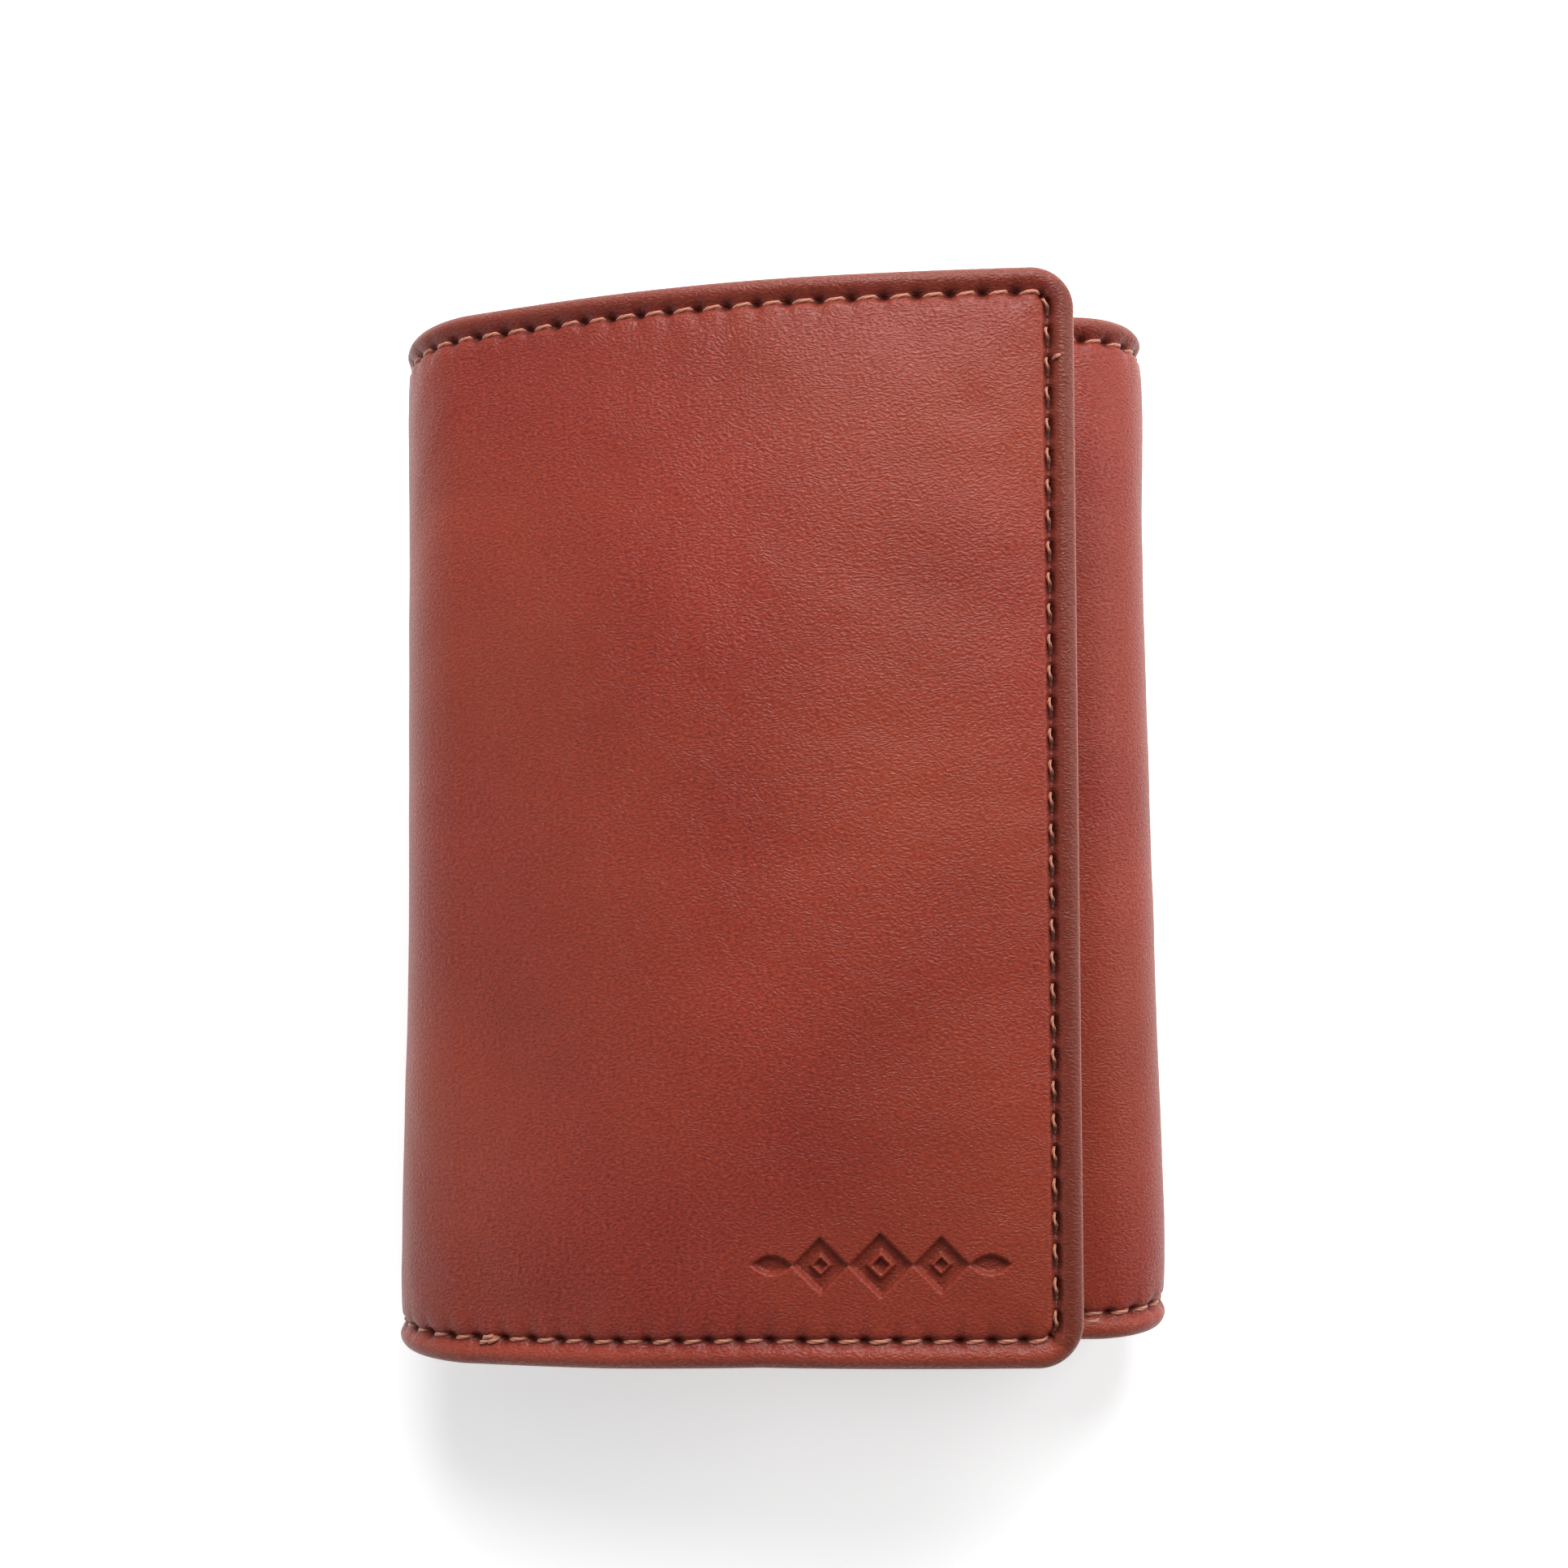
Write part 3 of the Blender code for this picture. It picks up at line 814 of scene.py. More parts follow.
def leather_grain(n, place, fine):
    """The grain's height: wavy wrinkles running along the hide, small cells between them, and pores."""
    bent = n.vector("ADD", place, n.warp(place, 0.22, 2.0, (1.6, 2.0, 0)))
    bent = n.vector("ADD", bent, n.warp(place, 1.1, 1.0, (0.35, 0.45, 0)))
    stretched = n.vector("MULTIPLY", bent, (PEBBLES[0] * fine, PEBBLES[1] * fine, 0))
    cells = n.node(
        "ShaderNodeTexVoronoi", {"Vector": stretched, "Scale": 1.0, "Randomness": 1.0},
        feature="DISTANCE_TO_EDGE", voronoi_dimensions="2D",
    ).outputs["Distance"]
    pebble = n.math("SQRT", n.band(cells, 0.0, 0.42))
    grained = n.vector("MULTIPLY", bent, (WRINKLES[0] * fine, WRINKLES[1] * fine, 0))
    wrinkle = n.band(n.noise(grained, 1.0, 0.9, 0.5), 0.22, 0.78)
    pores = n.noise(place, 7.0, 2.0, 0.6)
    return n.weighted((wrinkle, 0.78), (pebble, 0.14), (pores, 0.10))


def leather_colour(n, place, height):
    """Chestnut with soft patches; darker in the grain's valleys and lighter on its crests as painted shade
    and highlight; edges lighter from wear and a painted highlight; and painted shade in the hollows and on
    the rims.
    """
    blotch = n.band(n.noise(place, 0.05, 2.0, 0.4), 0.0, 1.0, 0.10, 0.38)
    # The grain's height darkens its valleys and lightens its crests: painted shade and painted highlight.
    tone = n.weighted((height, 0.50), (blotch, 1.0))
    colour = n.ramp(tone, (0.22, LEATHER_DARK), (0.50, LEATHER_MID), (0.80, LEATHER_LIGHT))
    elsewhere = n.vector("ADD", place, (31, 7, 0))
    russet = n.band(n.noise(elsewhere, 0.032, 2.0, 0.5), 0.36, 0.68, 0.0, 0.40)
    colour = n.mix(russet, colour, LEATHER_RUSSET)
    # Lighter towards the edges: wear, and a painted highlight along the rolled edge.
    worn_and_highlit = n.band(n.attribute("edge", "Fac"), 0.10 * MM, WORN_AND_HIGHLIT_RIM, 0.28, 0.0)
    colour = n.mix(worn_and_highlit, colour, LEATHER_EDGE)
    # The dark attribute holds painted shade in the hollows and on the rims, and a darker patch round the
    # ornament.
    darkened = n.band(n.attribute("dark", "Fac"), 0.0, 1.0, 0.0, 0.9)
    return n.mix(darkened, colour, LEATHER_HOLLOW)


def leather_material(name="leather_grain", fine=1.0):
    n = Nodes(name)
    place = n.millimetres()
    height = leather_grain(n, place, fine)
    colour = leather_colour(n, place, height)
    gloss = n.band(height, 0.1, 1.0, 0.50, 0.30)
    n.principled(Base_Color=colour, Roughness=gloss, Specular_IOR_Level=0.24)
    n.bump(height, GRAIN_DEPTH)
    return n.material


def thread_material():
    n = Nodes("waxed_thread")
    fibre = n.noise(n.millimetres(), 5.0, 3.0, 0.6)
    # The edge attribute holds each stitch's tone: lighter on strand crests, with painted shade where the
    # thread sinks into a slot.
    tone = n.weighted((fibre, 0.40), (n.attribute("edge", "Fac"), 0.60))
    colour = n.ramp(tone, (0.15, THREAD_DARK), (0.55, THREAD_LIGHT))
    n.principled(Base_Color=colour, Roughness=0.5, Sheen_Weight=0.25)
    n.bump(fibre, 0.03 * MM, 0.6)
    return n.material


def woven_material(name, colour, thread=0.32 * MM):
    """A plain weave in the sheet's own flat coordinates."""
    n = Nodes(name)
    turns = math.pi / thread
    place = n.vector("MULTIPLY", n.attribute("cut"), (turns, turns, 0))
    split = n.node("ShaderNodeSeparateXYZ", {"Vector": place})
    warp_thread = n.math("SINE", split.outputs["X"])
    weft_thread = n.math("SINE", split.outputs["Y"])
    over = n.math("MULTIPLY", warp_thread, weft_thread)
    lumps = n.noise(n.vector("MULTIPLY", n.attribute("cut"), (900, 900, 900)), 1.2, 3.0, 0.6)
    height = n.weighted((over, 0.4), (lumps, 0.5))
    dark = tuple(0.45 * c for c in colour[:3])
    light = tuple(min(1.7 * c, 1) for c in colour[:3])
    colour = n.ramp(height, (0.0, dark), (0.7, light))
    n.principled(Base_Color=colour, Roughness=0.78, Sheen_Weight=0.3)
    n.bump(height, 0.06 * MM, 0.7)
    return n.material


def film_material():
    n = Nodes("window_film_clear")
    ripple = n.noise(n.millimetres(), 0.09, 2.0, 0.5)
    haze = n.band(ripple, 0.3, 0.7, 0.14, 0.26)
    n.principled(Base_Color=FILM_TINT, Alpha=0.09, Roughness=haze, Coat_Weight=0.5)
    n.bump(ripple, 0.25 * MM, 0.5)
    return n.material


def stage_material():
    n = Nodes("pale_floor")
    place = n.node("ShaderNodeTexCoord").outputs["Object"]
    faint = n.noise(place, 6.0, 2.0, 0.5)
    colour = n.ramp(faint, (0.0, grey(0.90)), (1.0, grey(0.94)))
    n.principled(Base_Color=colour, Roughness=0.9, Emission_Color=grey(1.0), Emission_Strength=0.42)
    return n.material


FINISHES = {
    "leather": leather_material(),
    "pocket": leather_material("pocket_leather", fine=1.25),
    "thread": thread_material(),
    "lining": woven_material("lining_weave", LINING),
    "fleece": woven_material("padding_fleece", FLEECE, thread=0.9 * MM),
    "film": film_material(),
}


# ---------------------------------------------------------------- riding on bodies

FOLD_JOINS = {
    "right_fold_upper": ("right_fold", "inner_flap"),
    "right_fold_lower": ("centre", "right_fold"),
    "left_fold_lower": ("centre", "left_fold"),
    "left_fold_upper": ("left_fold", "outer_flap"),
}


def arc_point(along, depth):
    return Vector(wrap(np.array(along), np.array(0.0), np.array(depth)).tolist())


def body_of(stretch):
    """A fold's two stretches belong to one CAD body, and its lower one stands for that body's nodes."""
    return stretch.removesuffix("_upper").removesuffix("_lower")


def attach(piece, stretch, depth, nodes=()):
    """Rides a panel's piece on its body; a fold's piece stays where it is, with its transform baked into its
    mesh.
    """
    if nodes and not stretch.endswith("_upper"):
        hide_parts(*nodes)
    if stretch not in FOLD_JOINS:
        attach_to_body(piece, stretch)
        return
    start, end = (arc_point(along, depth) for along in SPANS[stretch])
    if stretch.startswith("right"):
        start, end = end, start
    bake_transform(piece)


# ---------------------------------------------------------------- the hide

FREE_ENDS = {"inner_flap": [(0.0, 1)], "outer_flap": [(HIDE_LENGTH, -1)]}
STRETCHES = list(SPANS)


def lozenge(run, rise, half_width, half_height):
    """Distance outside a lozenge's pressed outline and centre dot."""
    slope = half_width * half_height / math.hypot(half_width, half_height)
    size = run / half_width + rise / half_height
    off_outline = np.abs((size - 1) * slope + STROKE / 2) - STROKE / 2
    return np.minimum(off_outline, (size - 0.26) * slope)


def ornament(along, across):
    """A plain pressed mark on the outer flap, from 0 to 1: three lozenges between two tapered bars."""
    run = np.abs(along - (HIDE_LENGTH - ORNAMENT_INSET))
    rise = np.abs(across - ORNAMENT_ACROSS)
    half_length, half_height = ORNAMENT_SIZE[0] / 2, ORNAMENT_SIZE[1] / 2
    middle = lozenge(run, rise, half_height, half_height)
    beside = lozenge(np.abs(run - 1.95 * half_height), rise, 0.87 * half_height, 0.87 * half_height)
    bar_half = (half_length - 2.9 * half_height) / 2
    taper = 1 - ((run - half_length + bar_half) / bar_half) ** 2
    bar = rise - 0.75 * STROKE * np.clip(taper, -1, 1)
    nearest = np.minimum(np.minimum(middle, beside), bar)
    return 1 - smooth_step(nearest, -PRESS_WALL, PRESS_WALL)


def hide_outer(along, across, edge):
    depth = hide_relief(along, across, edge) + PRESS_DEPTH * ornament(along, across)
    back = (along > SPANS["centre"][0]) & (along < SPANS["centre"][1])
    return np.where(back, np.clip(depth, 0.0, None), depth)


def painted_shade_and_patches(along, across, edge):
    """Where the leather's colour is darkened: painted shade in the stitched hollows and on the rims, and a
    darker patch round the ornament and inside its pressed mark.
    """
    phase, at_end = row_phase(along, across)
    # Painted shade: darker where the stitched channel, its pits and the end slots sink under the surface.
    hollow_shade = np.clip(rim_relief(edge, phase, at_end) / np.where(at_end, 1.0 * MM, 1.2 * MM), 0, 1)
    # Painted shade on the rims: across each end's rim but for its very edge, along the lower rim's outer
    # edge, and across the upper rim.
    free_end = 0.60 * smooth_step(edge, 0.05 * MM, 0.28 * MM) * hump(edge, 2.3 * MM, 4)
    lower_rim = 0.4 * hump(edge, 0.8 * MM) * (across < 0)
    upper_rim = 0.42 * hump(edge, 2.4 * MM, 4) * (across > 0)
    rim_shade = np.where(at_end, free_end, lower_rim + upper_rim)
    # A broad darker patch round the ornament, and a little darker inside its pressed mark.
    to_ornament = np.hypot(along - (HIDE_LENGTH - ORNAMENT_INSET), across - ORNAMENT_ACROSS)
    ornament_patch = 0.16 * hump(to_ornament, 20 * MM)
    return np.clip(hollow_shade + rim_shade + ornament_patch + 0.1 * ornament(along, across), 0, 1)


def hide_inner(along, across, edge):
    """The leather is doubled at its turned hem."""
    step = np.clip((edge - HEM_WIDTH) / HEM_STEP, 0, 1)
    return HEM + (LEATHER - HEM) * step


def hide_lines(stretch):
    """Lines along and across one stretch, close together at the rims and round the pressed ornament."""
    start, end = SPANS[stretch]
    along_details, across_details = [], []
    if stretch == "outer_flap":
        reach, rise = ORNAMENT_SIZE[0] / 2 + MM, ORNAMENT_SIZE[1] / 2 + MM
        middle = HIDE_LENGTH - ORNAMENT_INSET
        along_details = [(middle - reach, middle + reach, ORNAMENT_STEP)]
        across_details = [(ORNAMENT_ACROSS - rise, ORNAMENT_ACROSS + rise, ORNAMENT_STEP)]
    along_lines = sheet_lines(
        start, end, PANEL_STEP, RIM_STEP, HEM / 2, stretch == "inner_flap", stretch == "outer_flap",
        details=along_details,
    )
    across_lines = sheet_lines(
        -HALF_HEIGHT, HALF_HEIGHT, PANEL_STEP, RIM_STEP, HEM / 2, details=across_details
    )
    return along_lines, across_lines


def add_hide():
    for stretch in STRETCHES:
        piece = sheet(
            f"hide_{stretch}", *hide_lines(stretch), hide_outer, hide_inner,
            FINISHES["leather"], ends=FREE_ENDS.get(stretch, ()), shade=painted_shade_and_patches,
        )
        attach(piece, stretch, HEM / 2, [f"{body_of(stretch)}_leather"])


# ---------------------------------------------------------------- stitches

# One stitch: its middle, the directions it runs in and the rim lies in, its size, how far it is raised over
# the row, and whether it shows on the wallet's inner side.
Stitch = namedtuple("Stitch", "along across step out size raised inside", defaults=(1.0, 0.0, False))

STITCH_LENGTH = 2.35 * MM
STITCH_SLANT = 0.17 * MM
STRANDS = 3
STRAND_TURN = 2.2 * MM
STITCH_SIDES = 10
STITCH_RINGS = 15
BACK_TACK = 17
KNOT = 58
LOOSE_END = 44.5 * MM
SEAM_INSET = 1.5 * MM


def node_across(node):
    low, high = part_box(node)
    return low.y, high.y


def pocket_span(body):
    """Where a panel's pockets start and end along the hide."""
    start, end = SPANS[body]
    head = END_MARGIN if body == "inner_flap" else FOLD_MARGIN
    tail = END_MARGIN if body == "outer_flap" else FOLD_MARGIN
    return start + head, end - tail


def inner_layers():
    """What lies on the hide's inner side: (start, end, low, high, depth of its own inner surface)."""
    layers = [(0, HIDE_LENGTH, *DIVIDER_ACROSS, DIVIDER_DEPTH + DIVIDER_THICKNESS)]
    for body, names in POCKETS.items():
        for order, name in enumerate(names):
            depth = POCKET_DEPTH + order * POCKET_STEP + POCKET_THICKNESS
            layers.append((*pocket_span(body), *node_across(f"{body}_pocket_{name}"), depth))
    depth = FRAME_DEPTH + POCKET_THICKNESS
    layers.append((*pocket_span("outer_flap"), *node_across("window_frame"), depth))
    return layers


def inner_surface(layers, along, across):
    """Depth of the innermost layer at one place."""
    over = [
        depth for start, end, low, high, depth in layers
        if start < along < end and low < across < high
    ]
    return max(over, default=HEM)


def loose_stitches():
    """A back-tack and a knot beside the lower row, and a loose end over the free edge's rim."""
    def beside_row(number, shift, out, size):
        along = ROW_INSET + (number + 0.5) * LONG_RUN / LONG_COUNT + shift * MM
        return Stitch(along, -ROW - out * MM, (1, 0), (0, -1), size, raised=0.28 * MM)

    past_row = HIDE_LENGTH - ROW_INSET + 0.95 * MM
    return [
        beside_row(BACK_TACK, -0.3, 0.75, 0.95),
        beside_row(KNOT, -0.50, 0.32, 0.70),
        beside_row(KNOT, 0.35, 0.22, 0.60),
        beside_row(KNOT, -0.1, -0.18, 0.65),
        Stitch(past_row, LOOSE_END, (1, 0), (0, 1), 0.42, raised=0.50 * MM),
    ]


def inside_stitches(outside):
    """The same row seen from inside the wallet, and the seams that close the pockets beside the folds."""
    stitches = [stitch._replace(inside=True) for stitch in outside]
    seams = [("inner_flap", "inner_flap_pocket_upper", 1), ("outer_flap", "window_frame", 0)]
    seams += [("centre", "centre_pocket_upper", end) for end in (0, 1)]
    for body, node, end in seams:
        high = node_across(node)[1]
        along = pocket_span(body)[end] + (-SEAM_INSET if end else SEAM_INSET)
        count = int((high + ROW - 0.7 * STITCH_PITCH) / STITCH_PITCH)
        for k in range(1, count):
            across = -ROW + (k + 0.5) * STITCH_PITCH
            stitches.append(Stitch(along, across, (0, 1), (1, 0), inside=True))
    return stitches


def stitch_rows():
    """Every stitch of the wallet, in the order that their random draws follow."""
    stitches = []
    for k in range(LONG_COUNT):
        along = ROW_INSET + (k + 0.5) * LONG_RUN / LONG_COUNT
        for side in (1, -1):
            stitches.append(Stitch(along, side * ROW, (1, 0), (0, side)))
    for k in range(SHORT_COUNT):
        across = -ROW + (k + 0.5) * SHORT_RUN / SHORT_COUNT
        stitches.append(Stitch(HIDE_LENGTH - ROW_INSET, across, (0, 1), (1, 0)))
        stitches.append(Stitch(ROW_INSET, across, (0, 1), (-1, 0)))
    return stitches + loose_stitches() + inside_stitches(stitches)


def stitch_shape(index, stitch, surface_depth):
    """One stitch in its own coordinates: (run, out, depth) for each ring and side, and a tone that is lighter
    on each strand's crest and darker where the thread sinks into a slot, as painted shade.

    In an end's row it is sunk at its lower end, and its upper end lies on the panel's side of the slot."""
    chance = np.random.default_rng(RNG_SEED * 1000 + index)
    length = STITCH_LENGTH * chance.uniform(0.94, 1.05) * stitch.size
    slant = STITCH_SLANT * chance.uniform(0.7, 1.3)
    lift = chance.uniform(-0.05, 0.05) * MM
    u = np.linspace(-1, 1, STITCH_RINGS)[:, None]
    angle = np.linspace(0, 2 * np.pi, STITCH_SIDES, endpoint=False)[None, :]
    radius = THREAD_RADIUS * (1 - 0.4 * np.abs(u) ** 3)
    twist = STRANDS * angle - 2 * np.pi * u * length / STRAND_TURN
    lobes = 1 + 0.13 * np.cos(twist)
    shown = 1.0
    if stitch.inside:
        # It lies on the innermost layer, and its ends go down into it.
        depth = surface_depth + 0.06 * MM + lift - 0.6 * MM * np.abs(u) ** 4
        aside = 0.5 * slant * u
    elif stitch.step[0] == 0:
        # It runs across the hide, in the slot along one of the two ends.
        upwards = u * stitch.step[1]
        # How much of the thread shows above the slot: it sets the depth, and darkens the tone where the
        # thread sinks, as painted shade.
        shown = smooth_step(upwards, -0.45, 0.15)
        depth = 0.80 * MM - 0.58 * MM * shown - lift + 0.45 * MM * np.abs(u) ** 8
        aside = 0.08 * MM - 0.24 * MM * hump(upwards - 0.55, 0.5)
        radius = radius * 0.85
    else:
        # It bridges two holes of the puckered channel.
        depth = 0.26 * MM - lift + 0.75 * MM * np.abs(u) ** 3.2
        aside = slant * u * stitch.out[1]
    run = u * length / 2 + 0 * angle
    out = aside + radius * lobes * np.cos(angle)
    down = depth - stitch.raised + radius * lobes * np.sin(angle)
    return np.stack([run, out, down], axis=-1), (0.5 + 0.5 * np.cos(twist)) * shown


def stitch_faces():
    """The faces of one stitch: a tube closed at both ends."""
    ring = np.arange(STITCH_SIDES)
    faces = []
    for r in range(STITCH_RINGS - 1):
        a, b = r * STITCH_SIDES + ring, r * STITCH_SIDES + (ring + 1) % STITCH_SIDES
        faces += np.stack([a, b, b + STITCH_SIDES, a + STITCH_SIDES], axis=-1).tolist()
    last = (STITCH_RINGS - 1) * STITCH_SIDES
    faces.append(ring[::-1].tolist())
    faces.append((last + ring).tolist())
    return faces


def stitches_by_stretch():
    """The stitches of each stretch, each with its number in the whole row."""
    groups = {stretch: [] for stretch in STRETCHES}
    starts = [start for start, _ in SPANS.values()]
    for index, stitch in enumerate(stitch_rows()):
        stretch = STRETCHES[np.searchsorted(starts, stitch.along, side="right") - 1]
        groups[stretch].append((index, stitch))
    return groups


def place_stitch(index, stitch, layers):
    """One stitch in the hide's flat coordinates, and its tone, which holds painted shade where the thread
    sinks into a slot.
    """
    surface_depth = inner_surface(layers, stitch.along, stitch.across)
    shape, tone = stitch_shape(index, stitch, surface_depth)
    run, aside, depth = shape[..., 0], shape[..., 1], shape[..., 2]
    along = stitch.along + run * stitch.step[0] + aside * stitch.out[0]
    across = stitch.across + run * stitch.step[1] + aside * stitch.out[1]
    return np.stack([along, across, depth], axis=-1).reshape(-1, 3), tone.ravel()


def add_stitches():
    pattern = stitch_faces()
    layers = inner_layers()
    for stretch, stitches in stitches_by_stretch().items():
        flat, tones, faces = [], [], []
        for index, stitch in stitches:
            first = STITCH_RINGS * STITCH_SIDES * len(flat)
            mirrored = stitch.step[0] * stitch.out[1] - stitch.step[1] * stitch.out[0] > 0
            block = [[first + corner for corner in face] for face in pattern]
            faces += [face[::-1] for face in block] if mirrored else block
            place, tone = place_stitch(index, stitch, layers)
            flat.append(place)
            tones.append(tone)
        flat = np.concatenate(flat)
        placed = round_corners(
            flat[:, 0], flat[:, 1], FREE_ENDS.get(stretch, ()), -HALF_HEIGHT, HALF_HEIGHT
        )
        points = wrap(*placed, flat[:, 2])
        piece = new_object(
            f"stitches_{stretch}", points, faces, FINISHES["thread"],
            {"cut": flat, "edge": np.concatenate(tones)},
        )
        nodes = [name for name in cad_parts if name.startswith(f"{body_of(stretch)}_thread")]
        attach(piece, stretch, HEM / 2, nodes)


# ---------------------------------------------------------------- linings, padding and pockets

DIVIDER_ACROSS = node_across("centre_divider")


def layer_length(start, end, depth):
    """How long a layer at this depth is once it is laid flat."""
    along = np.linspace(start, end, 200)
    points = np.asarray(wrap(along, 0 * along, depth + 0 * along))
    return float(np.linalg.norm(np.diff(points, axis=0), axis=1).sum())


def divider_outer(along, across, edge):
    return DIVIDER_DEPTH + RIPPLE * SAG(along * 1.7, across * 1.7)


def divider_inner(along, across, edge):
    hem_line = hump(DIVIDER_ACROSS[1] - across - 4.0 * MM, 0.35 * MM)
    return divider_outer(along, across, edge) + DIVIDER_THICKNESS - 0.12 * MM * hem_line


def add_divider(stretch):
    """One stretch of the lining, and its size when it is laid flat."""
    start, end = SPANS[stretch]
    starts_free, ends_free = stretch == "inner_flap", stretch == "outer_flap"
    ends = []
    if starts_free:
        start += DIVIDER_INSET
        ends.append((start, 1))
    if ends_free:
        end -= DIVIDER_INSET
        ends.append((end, -1))
    roll = DIVIDER_THICKNESS / 2
    piece = sheet(
        f"divider_{stretch}",
        sheet_lines(start, end, 0.9 * MM, 0.9 * MM, roll, open_start=starts_free, open_end=ends_free),
        sheet_lines(*DIVIDER_ACROSS, 0.9 * MM, 0.45 * MM, roll),
        divider_outer, divider_inner, FINISHES["lining"], ends=ends,
        roll=DIVIDER_THICKNESS, radius=3.0 * MM,
    )
    middle = DIVIDER_DEPTH + roll
    attach(piece, stretch, middle, [f"{body_of(stretch)}_divider"])
    return piece, (layer_length(start, end, middle), DIVIDER_ACROSS[1] - DIVIDER_ACROSS[0])


def add_dividers():
    """The lining that parts the note compartment from the pockets, hemmed along its upper edge.

    It is one cloth, built here as one sheet for each stretch of the hide, the folds' stretches included."""
    made = {stretch: add_divider(stretch) for stretch in STRETCHES}


def add_padding():
    """Thin fleece behind the leather of each flat panel, with a faint ripple."""
    for body in ("inner_flap", "centre", "outer_flap"):
        low, high = node_across(f"{body}_padding")
        start, end = SPANS[body]
        margin, thickness = PADDING_MARGIN, PADDING_THICKNESS
        lines = sheet_lines(start + margin, end - margin, 1.2 * MM, 0.6 * MM, thickness / 2)
        across_lines = sheet_lines(low, high, 1.2 * MM, 0.6 * MM, thickness / 2)
        ends = [(start + margin, 1), (end - margin, -1)]

        def outer(along, across, edge):
            return PADDING_DEPTH + RIPPLE * np.abs(SAG(along * 2, across * 2))

        def inner(along, across, edge):
            crown = 1 - np.exp(-edge / (2 * MM))
            return outer(along, across, edge) + thickness * (0.75 + 0.2 * crown)

        piece = sheet(
            f"padding_{body}", lines, across_lines, outer, inner, FINISHES["fleece"], ends=ends,
            roll=thickness * 0.7, radius=4 * MM,
        )
        attach(piece, body, 0, [f"{body}_padding"])


def add_pocket(body, name, depth, order):
    """A card pocket with a turned upper edge, a pressed line under it and a shallow thumb dip."""
    low, high = node_across(f"{body}_pocket_{name}")
    start, end = pocket_span(body)
    middle = (start + end) / 2
    thickness = POCKET_THICKNESS
    lines = sheet_lines(start, end, 0.8 * MM, 0.8 * MM, thickness / 2)
    across_lines = sheet_lines(low, high, 0.9 * MM, 0.2 * MM, thickness / 2)

    def thumb_dip(along, across):
        dip = 1.6 * MM * hump(along - middle, 7 * MM)
        share = np.clip((across - low) / (high - low), 0, 1) ** 6
        return along, across - dip * share

    def outer(along, across, edge):
        return depth - 0.8 * RIPPLE * SAG(along * 1.3 + order, across)

    def inner(along, across, edge):
        pressed = hump(high - across - 1.9 * MM, 0.28 * MM)
        turned = 1 / (1 + np.exp(-(across - high + 1.9 * MM) / (0.15 * MM)))
        return outer(along, across, edge) + thickness - 0.16 * MM * pressed + 0.05 * MM * turned

    piece = sheet(
        f"pocket_{body}_{name}", lines, across_lines, outer, inner, FINISHES["pocket"],
        ends=[(start, 1), (end, -1)], roll=thickness, warp=thumb_dip, radius=1.2 * MM,
    )
    attach(piece, body, 0, [f"{body}_pocket_{name}"])


def add_pockets():
    for body, names in POCKETS.items():
        for order, name in enumerate(names):
            add_pocket(body, name, POCKET_DEPTH + order * POCKET_STEP, order)


def film_face(depth):
    """The depth function of one face of the film, which ripples a little."""
    return lambda along, across, edge: depth + RIPPLE * SAG(along * 2, across * 2)


def add_window():
    """The card window inside the outer flap: a framed sheet of clear film."""
    low, high = node_across("window_frame")
    start, end = pocket_span("outer_flap")
    border = WINDOW_BORDER
    add_frame((start, end, low, high), (start + border, end - border, low + border, high - border))
    film_start, film_end = start + FILM_TUCK, end - FILM_TUCK
    film = sheet(
        "window_film_sheet",
        sheet_lines(film_start, film_end, 1.4 * MM, 0.7 * MM, 0.1 * MM),
        sheet_lines(*node_across("window_film"), 1.4 * MM, 0.7 * MM, 0.1 * MM),
        film_face(FILM_DEPTHS[0]), film_face(FILM_DEPTHS[1]), FINISHES["film"],
        ends=[(film_start, 1), (film_end, -1)], roll=0.18 * MM, radius=2 * MM,
    )
    attach(film, "outer_flap", 0, ["window_film"])


def frame_faces(count, per_ring):
    """Faces between rings of corners: the frame's outer side, its inner side and the wall at each rim."""
    total = count * per_ring
    last = total - per_ring
    faces = []
    for c in range(per_ring):
        d = (c + 1) % per_ring
        for ring in range(0, last, per_ring):
            a, b, up = ring + c, ring + d, per_ring
            faces.append([a, a + up, b + up, b])
            faces.append([b + total, b + up + total, a + up + total, a + total])
        faces.append([c, d, d + total, c + total])
        faces.append([last + d, last + c, last + c + total, last + d + total])
    return faces


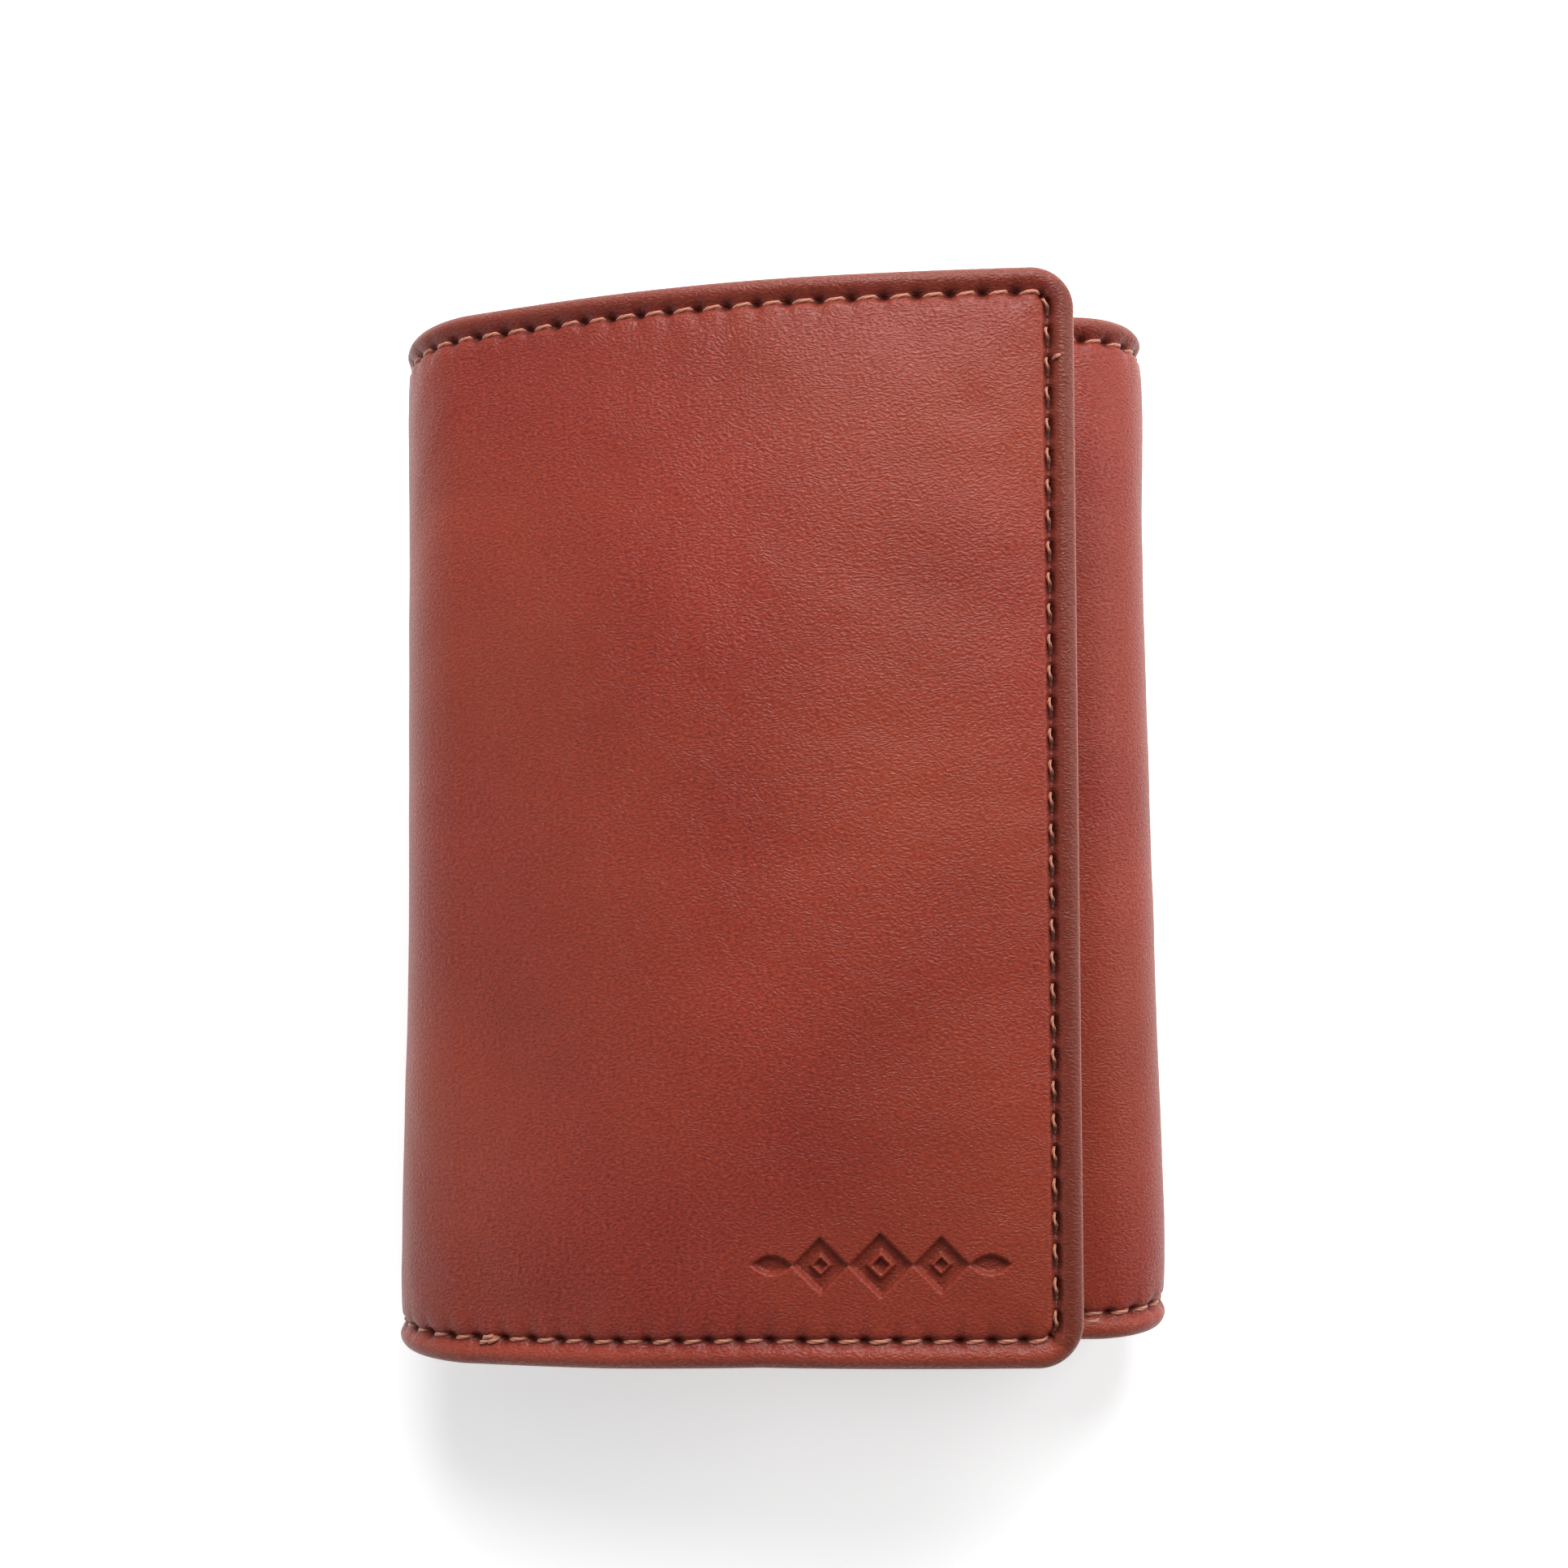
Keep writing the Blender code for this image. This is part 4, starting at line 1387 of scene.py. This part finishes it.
def add_frame(outline, hole):
    """A leather frame with a rounded window, built as rings from the window's rim to the outer edge."""
    turn = 0.04 * (1 - np.cos(np.linspace(0, np.pi / 2, 6)))
    shares = np.concatenate([turn, np.linspace(0.06, 0.94, 14), 1 - turn[::-1]])[:, None, None]
    rings = rounded_loop(*hole, 3.0 * MM) * (1 - shares) + rounded_loop(*outline, 1.4 * MM) * shares
    count, per_ring, _ = rings.shape
    edge = np.minimum(shares, 1 - shares)[..., 0] * WINDOW_BORDER + np.zeros((count, per_ring))
    rolled = roll_over(edge, POCKET_THICKNESS / 2)
    pressed = 0.16 * MM * hump(edge - 1.6 * MM, 0.3 * MM)
    top = wrap(rings[..., 0], rings[..., 1], FRAME_DEPTH + rolled)
    bottom = wrap(rings[..., 0], rings[..., 1], FRAME_DEPTH + POCKET_THICKNESS - rolled - pressed)
    flat = np.tile(rings.reshape(-1, 2), (2, 1))
    cut = np.column_stack([flat, np.full(len(flat), FRAME_DEPTH)])
    points = np.concatenate([top.reshape(-1, 3), bottom.reshape(-1, 3)])
    piece = new_object(
        "window_frame_leather", points, frame_faces(count, per_ring), FINISHES["pocket"],
        {"cut": cut, "edge": np.tile(edge.ravel(), 2)},
    )
    attach(piece, "outer_flap", 0, ["window_frame"])


def rounded_loop(start, end, low, high, radius, per_side=28):
    """A closed loop round a rectangle with rounded corners, the same number of points on each side."""
    corners = ((end, high, 0), (start, high, 90), (start, low, 180), (end, low, 270))
    arcs = []
    for along, across, turn in corners:
        angles = np.radians(turn + np.linspace(0, 90, 9))
        towards = np.array([np.sign((start + end) / 2 - along), np.sign((low + high) / 2 - across)])
        centre = np.array([along, across]) + towards * radius
        arcs.append(centre + radius * np.column_stack([np.cos(angles), np.sin(angles)]))
    points = []
    for k, corner in enumerate(arcs):
        following = arcs[(k + 1) % 4]
        points.extend(corner)
        run = np.linspace(0, 1, per_side + 2)[1:-1, None]
        points.extend(corner[-1] * (1 - run) + following[0] * run)
    return np.array(points)


# ---------------------------------------------------------------- stage, lights and camera

FLOOR_SIDE = 3.0
FLOOR_GAP = 0.1 * MM
WALLET_MIDDLE = (0, 0, 20 * MM)

# Each softbox: its place, its width, its power in watts and its colour.
SOFTBOXES = {
    "key_softbox": ((0.05, 0.36, 0.32), 0.34, 2.9, (1, 1, 1)),
    "side_softbox": ((0.36, 0.12, 0.24), 0.22, 0.7, (1, 1, 1)),
    "fill_softbox": ((-0.40, -0.14, 0.20), 0.25, 0.28, (0.84, 0.93, 1.0)),
}
HORIZON_LIGHT = (1.0, 0.99, 0.965, 1)
ZENITH_LIGHT = (0.15, 0.15, 0.15, 1)
SKY_STRENGTH = 0.86

LENS = 41.0
CAMERA_PLACE = (6.6 * MM, -11.8 * MM, 208.2 * MM)
CAMERA_PITCH, CAMERA_YAW, CAMERA_ROLL = (math.radians(angle) for angle in (4.72, 1.77, -0.83))


def add_stage():
    mesh = bpy.data.meshes.new("floor")
    half = FLOOR_SIDE / 2
    corners = [(-half, -half, 0), (half, -half, 0), (half, half, 0), (-half, half, 0)]
    mesh.from_pydata(corners, [], [(0, 1, 2, 3)])
    mesh.materials.append(stage_material())
    floor = bpy.data.objects.new("floor", mesh)
    bpy.context.scene.collection.objects.link(floor)
    floor.location.z = -FLOOR_GAP


def add_light(name, place, size, power, colour):
    data = bpy.data.lights.new(name, "AREA")
    data.shape = "DISK"
    data.size = size
    data.energy = power
    data.color = colour
    light = bpy.data.objects.new(name, data)
    bpy.context.scene.collection.objects.link(light)
    light.location = place
    light.rotation_euler = (Vector(WALLET_MIDDLE) - Vector(place)).to_track_quat("-Z", "Y").to_euler()


def add_lights():
    """Three softboxes, and a sky that is bright round the horizon and dim overhead."""
    world = bpy.data.worlds.new("studio")
    world.use_nodes = True
    tree = world.node_tree
    direction = tree.nodes.new("ShaderNodeTexCoord").outputs["Generated"]
    height = tree.nodes.new("ShaderNodeSeparateXYZ")
    tree.links.new(direction, height.inputs[0])
    ramp = tree.nodes.new("ShaderNodeValToRGB")
    stops = ((0.05, HORIZON_LIGHT), (0.85, ZENITH_LIGHT))
    for element, (position, colour) in zip(ramp.color_ramp.elements, stops):
        element.position = position
        element.color = colour
    tree.links.new(height.outputs["Z"], ramp.inputs["Fac"])
    tree.links.new(ramp.outputs["Color"], tree.nodes["Background"].inputs["Color"])
    tree.nodes["Background"].inputs["Strength"].default_value = SKY_STRENGTH
    bpy.context.scene.world = world
    for name, (place, size, power, colour) in SOFTBOXES.items():
        add_light(name, place, size, power, colour)


def add_camera():
    """The main view: from above, a little to the right and below the middle."""
    data = bpy.data.cameras.new("camera")
    data.lens = LENS
    camera = bpy.data.objects.new("camera", data)
    bpy.context.scene.collection.objects.link(camera)
    turn = Matrix.Rotation(CAMERA_YAW, 4, "Y") @ Matrix.Rotation(CAMERA_PITCH, 4, "X")
    turn = turn @ Matrix.Rotation(CAMERA_ROLL, 4, "Z")
    camera.matrix_world = Matrix.Translation(CAMERA_PLACE) @ turn
    data.clip_start = 0.01
    bpy.context.scene.camera = camera


add_hide()
add_stitches()
add_dividers()
add_padding()
add_pockets()
add_window()
add_stage()
add_lights()
add_camera()
bpy.context.scene.view_settings.view_transform = "Standard"
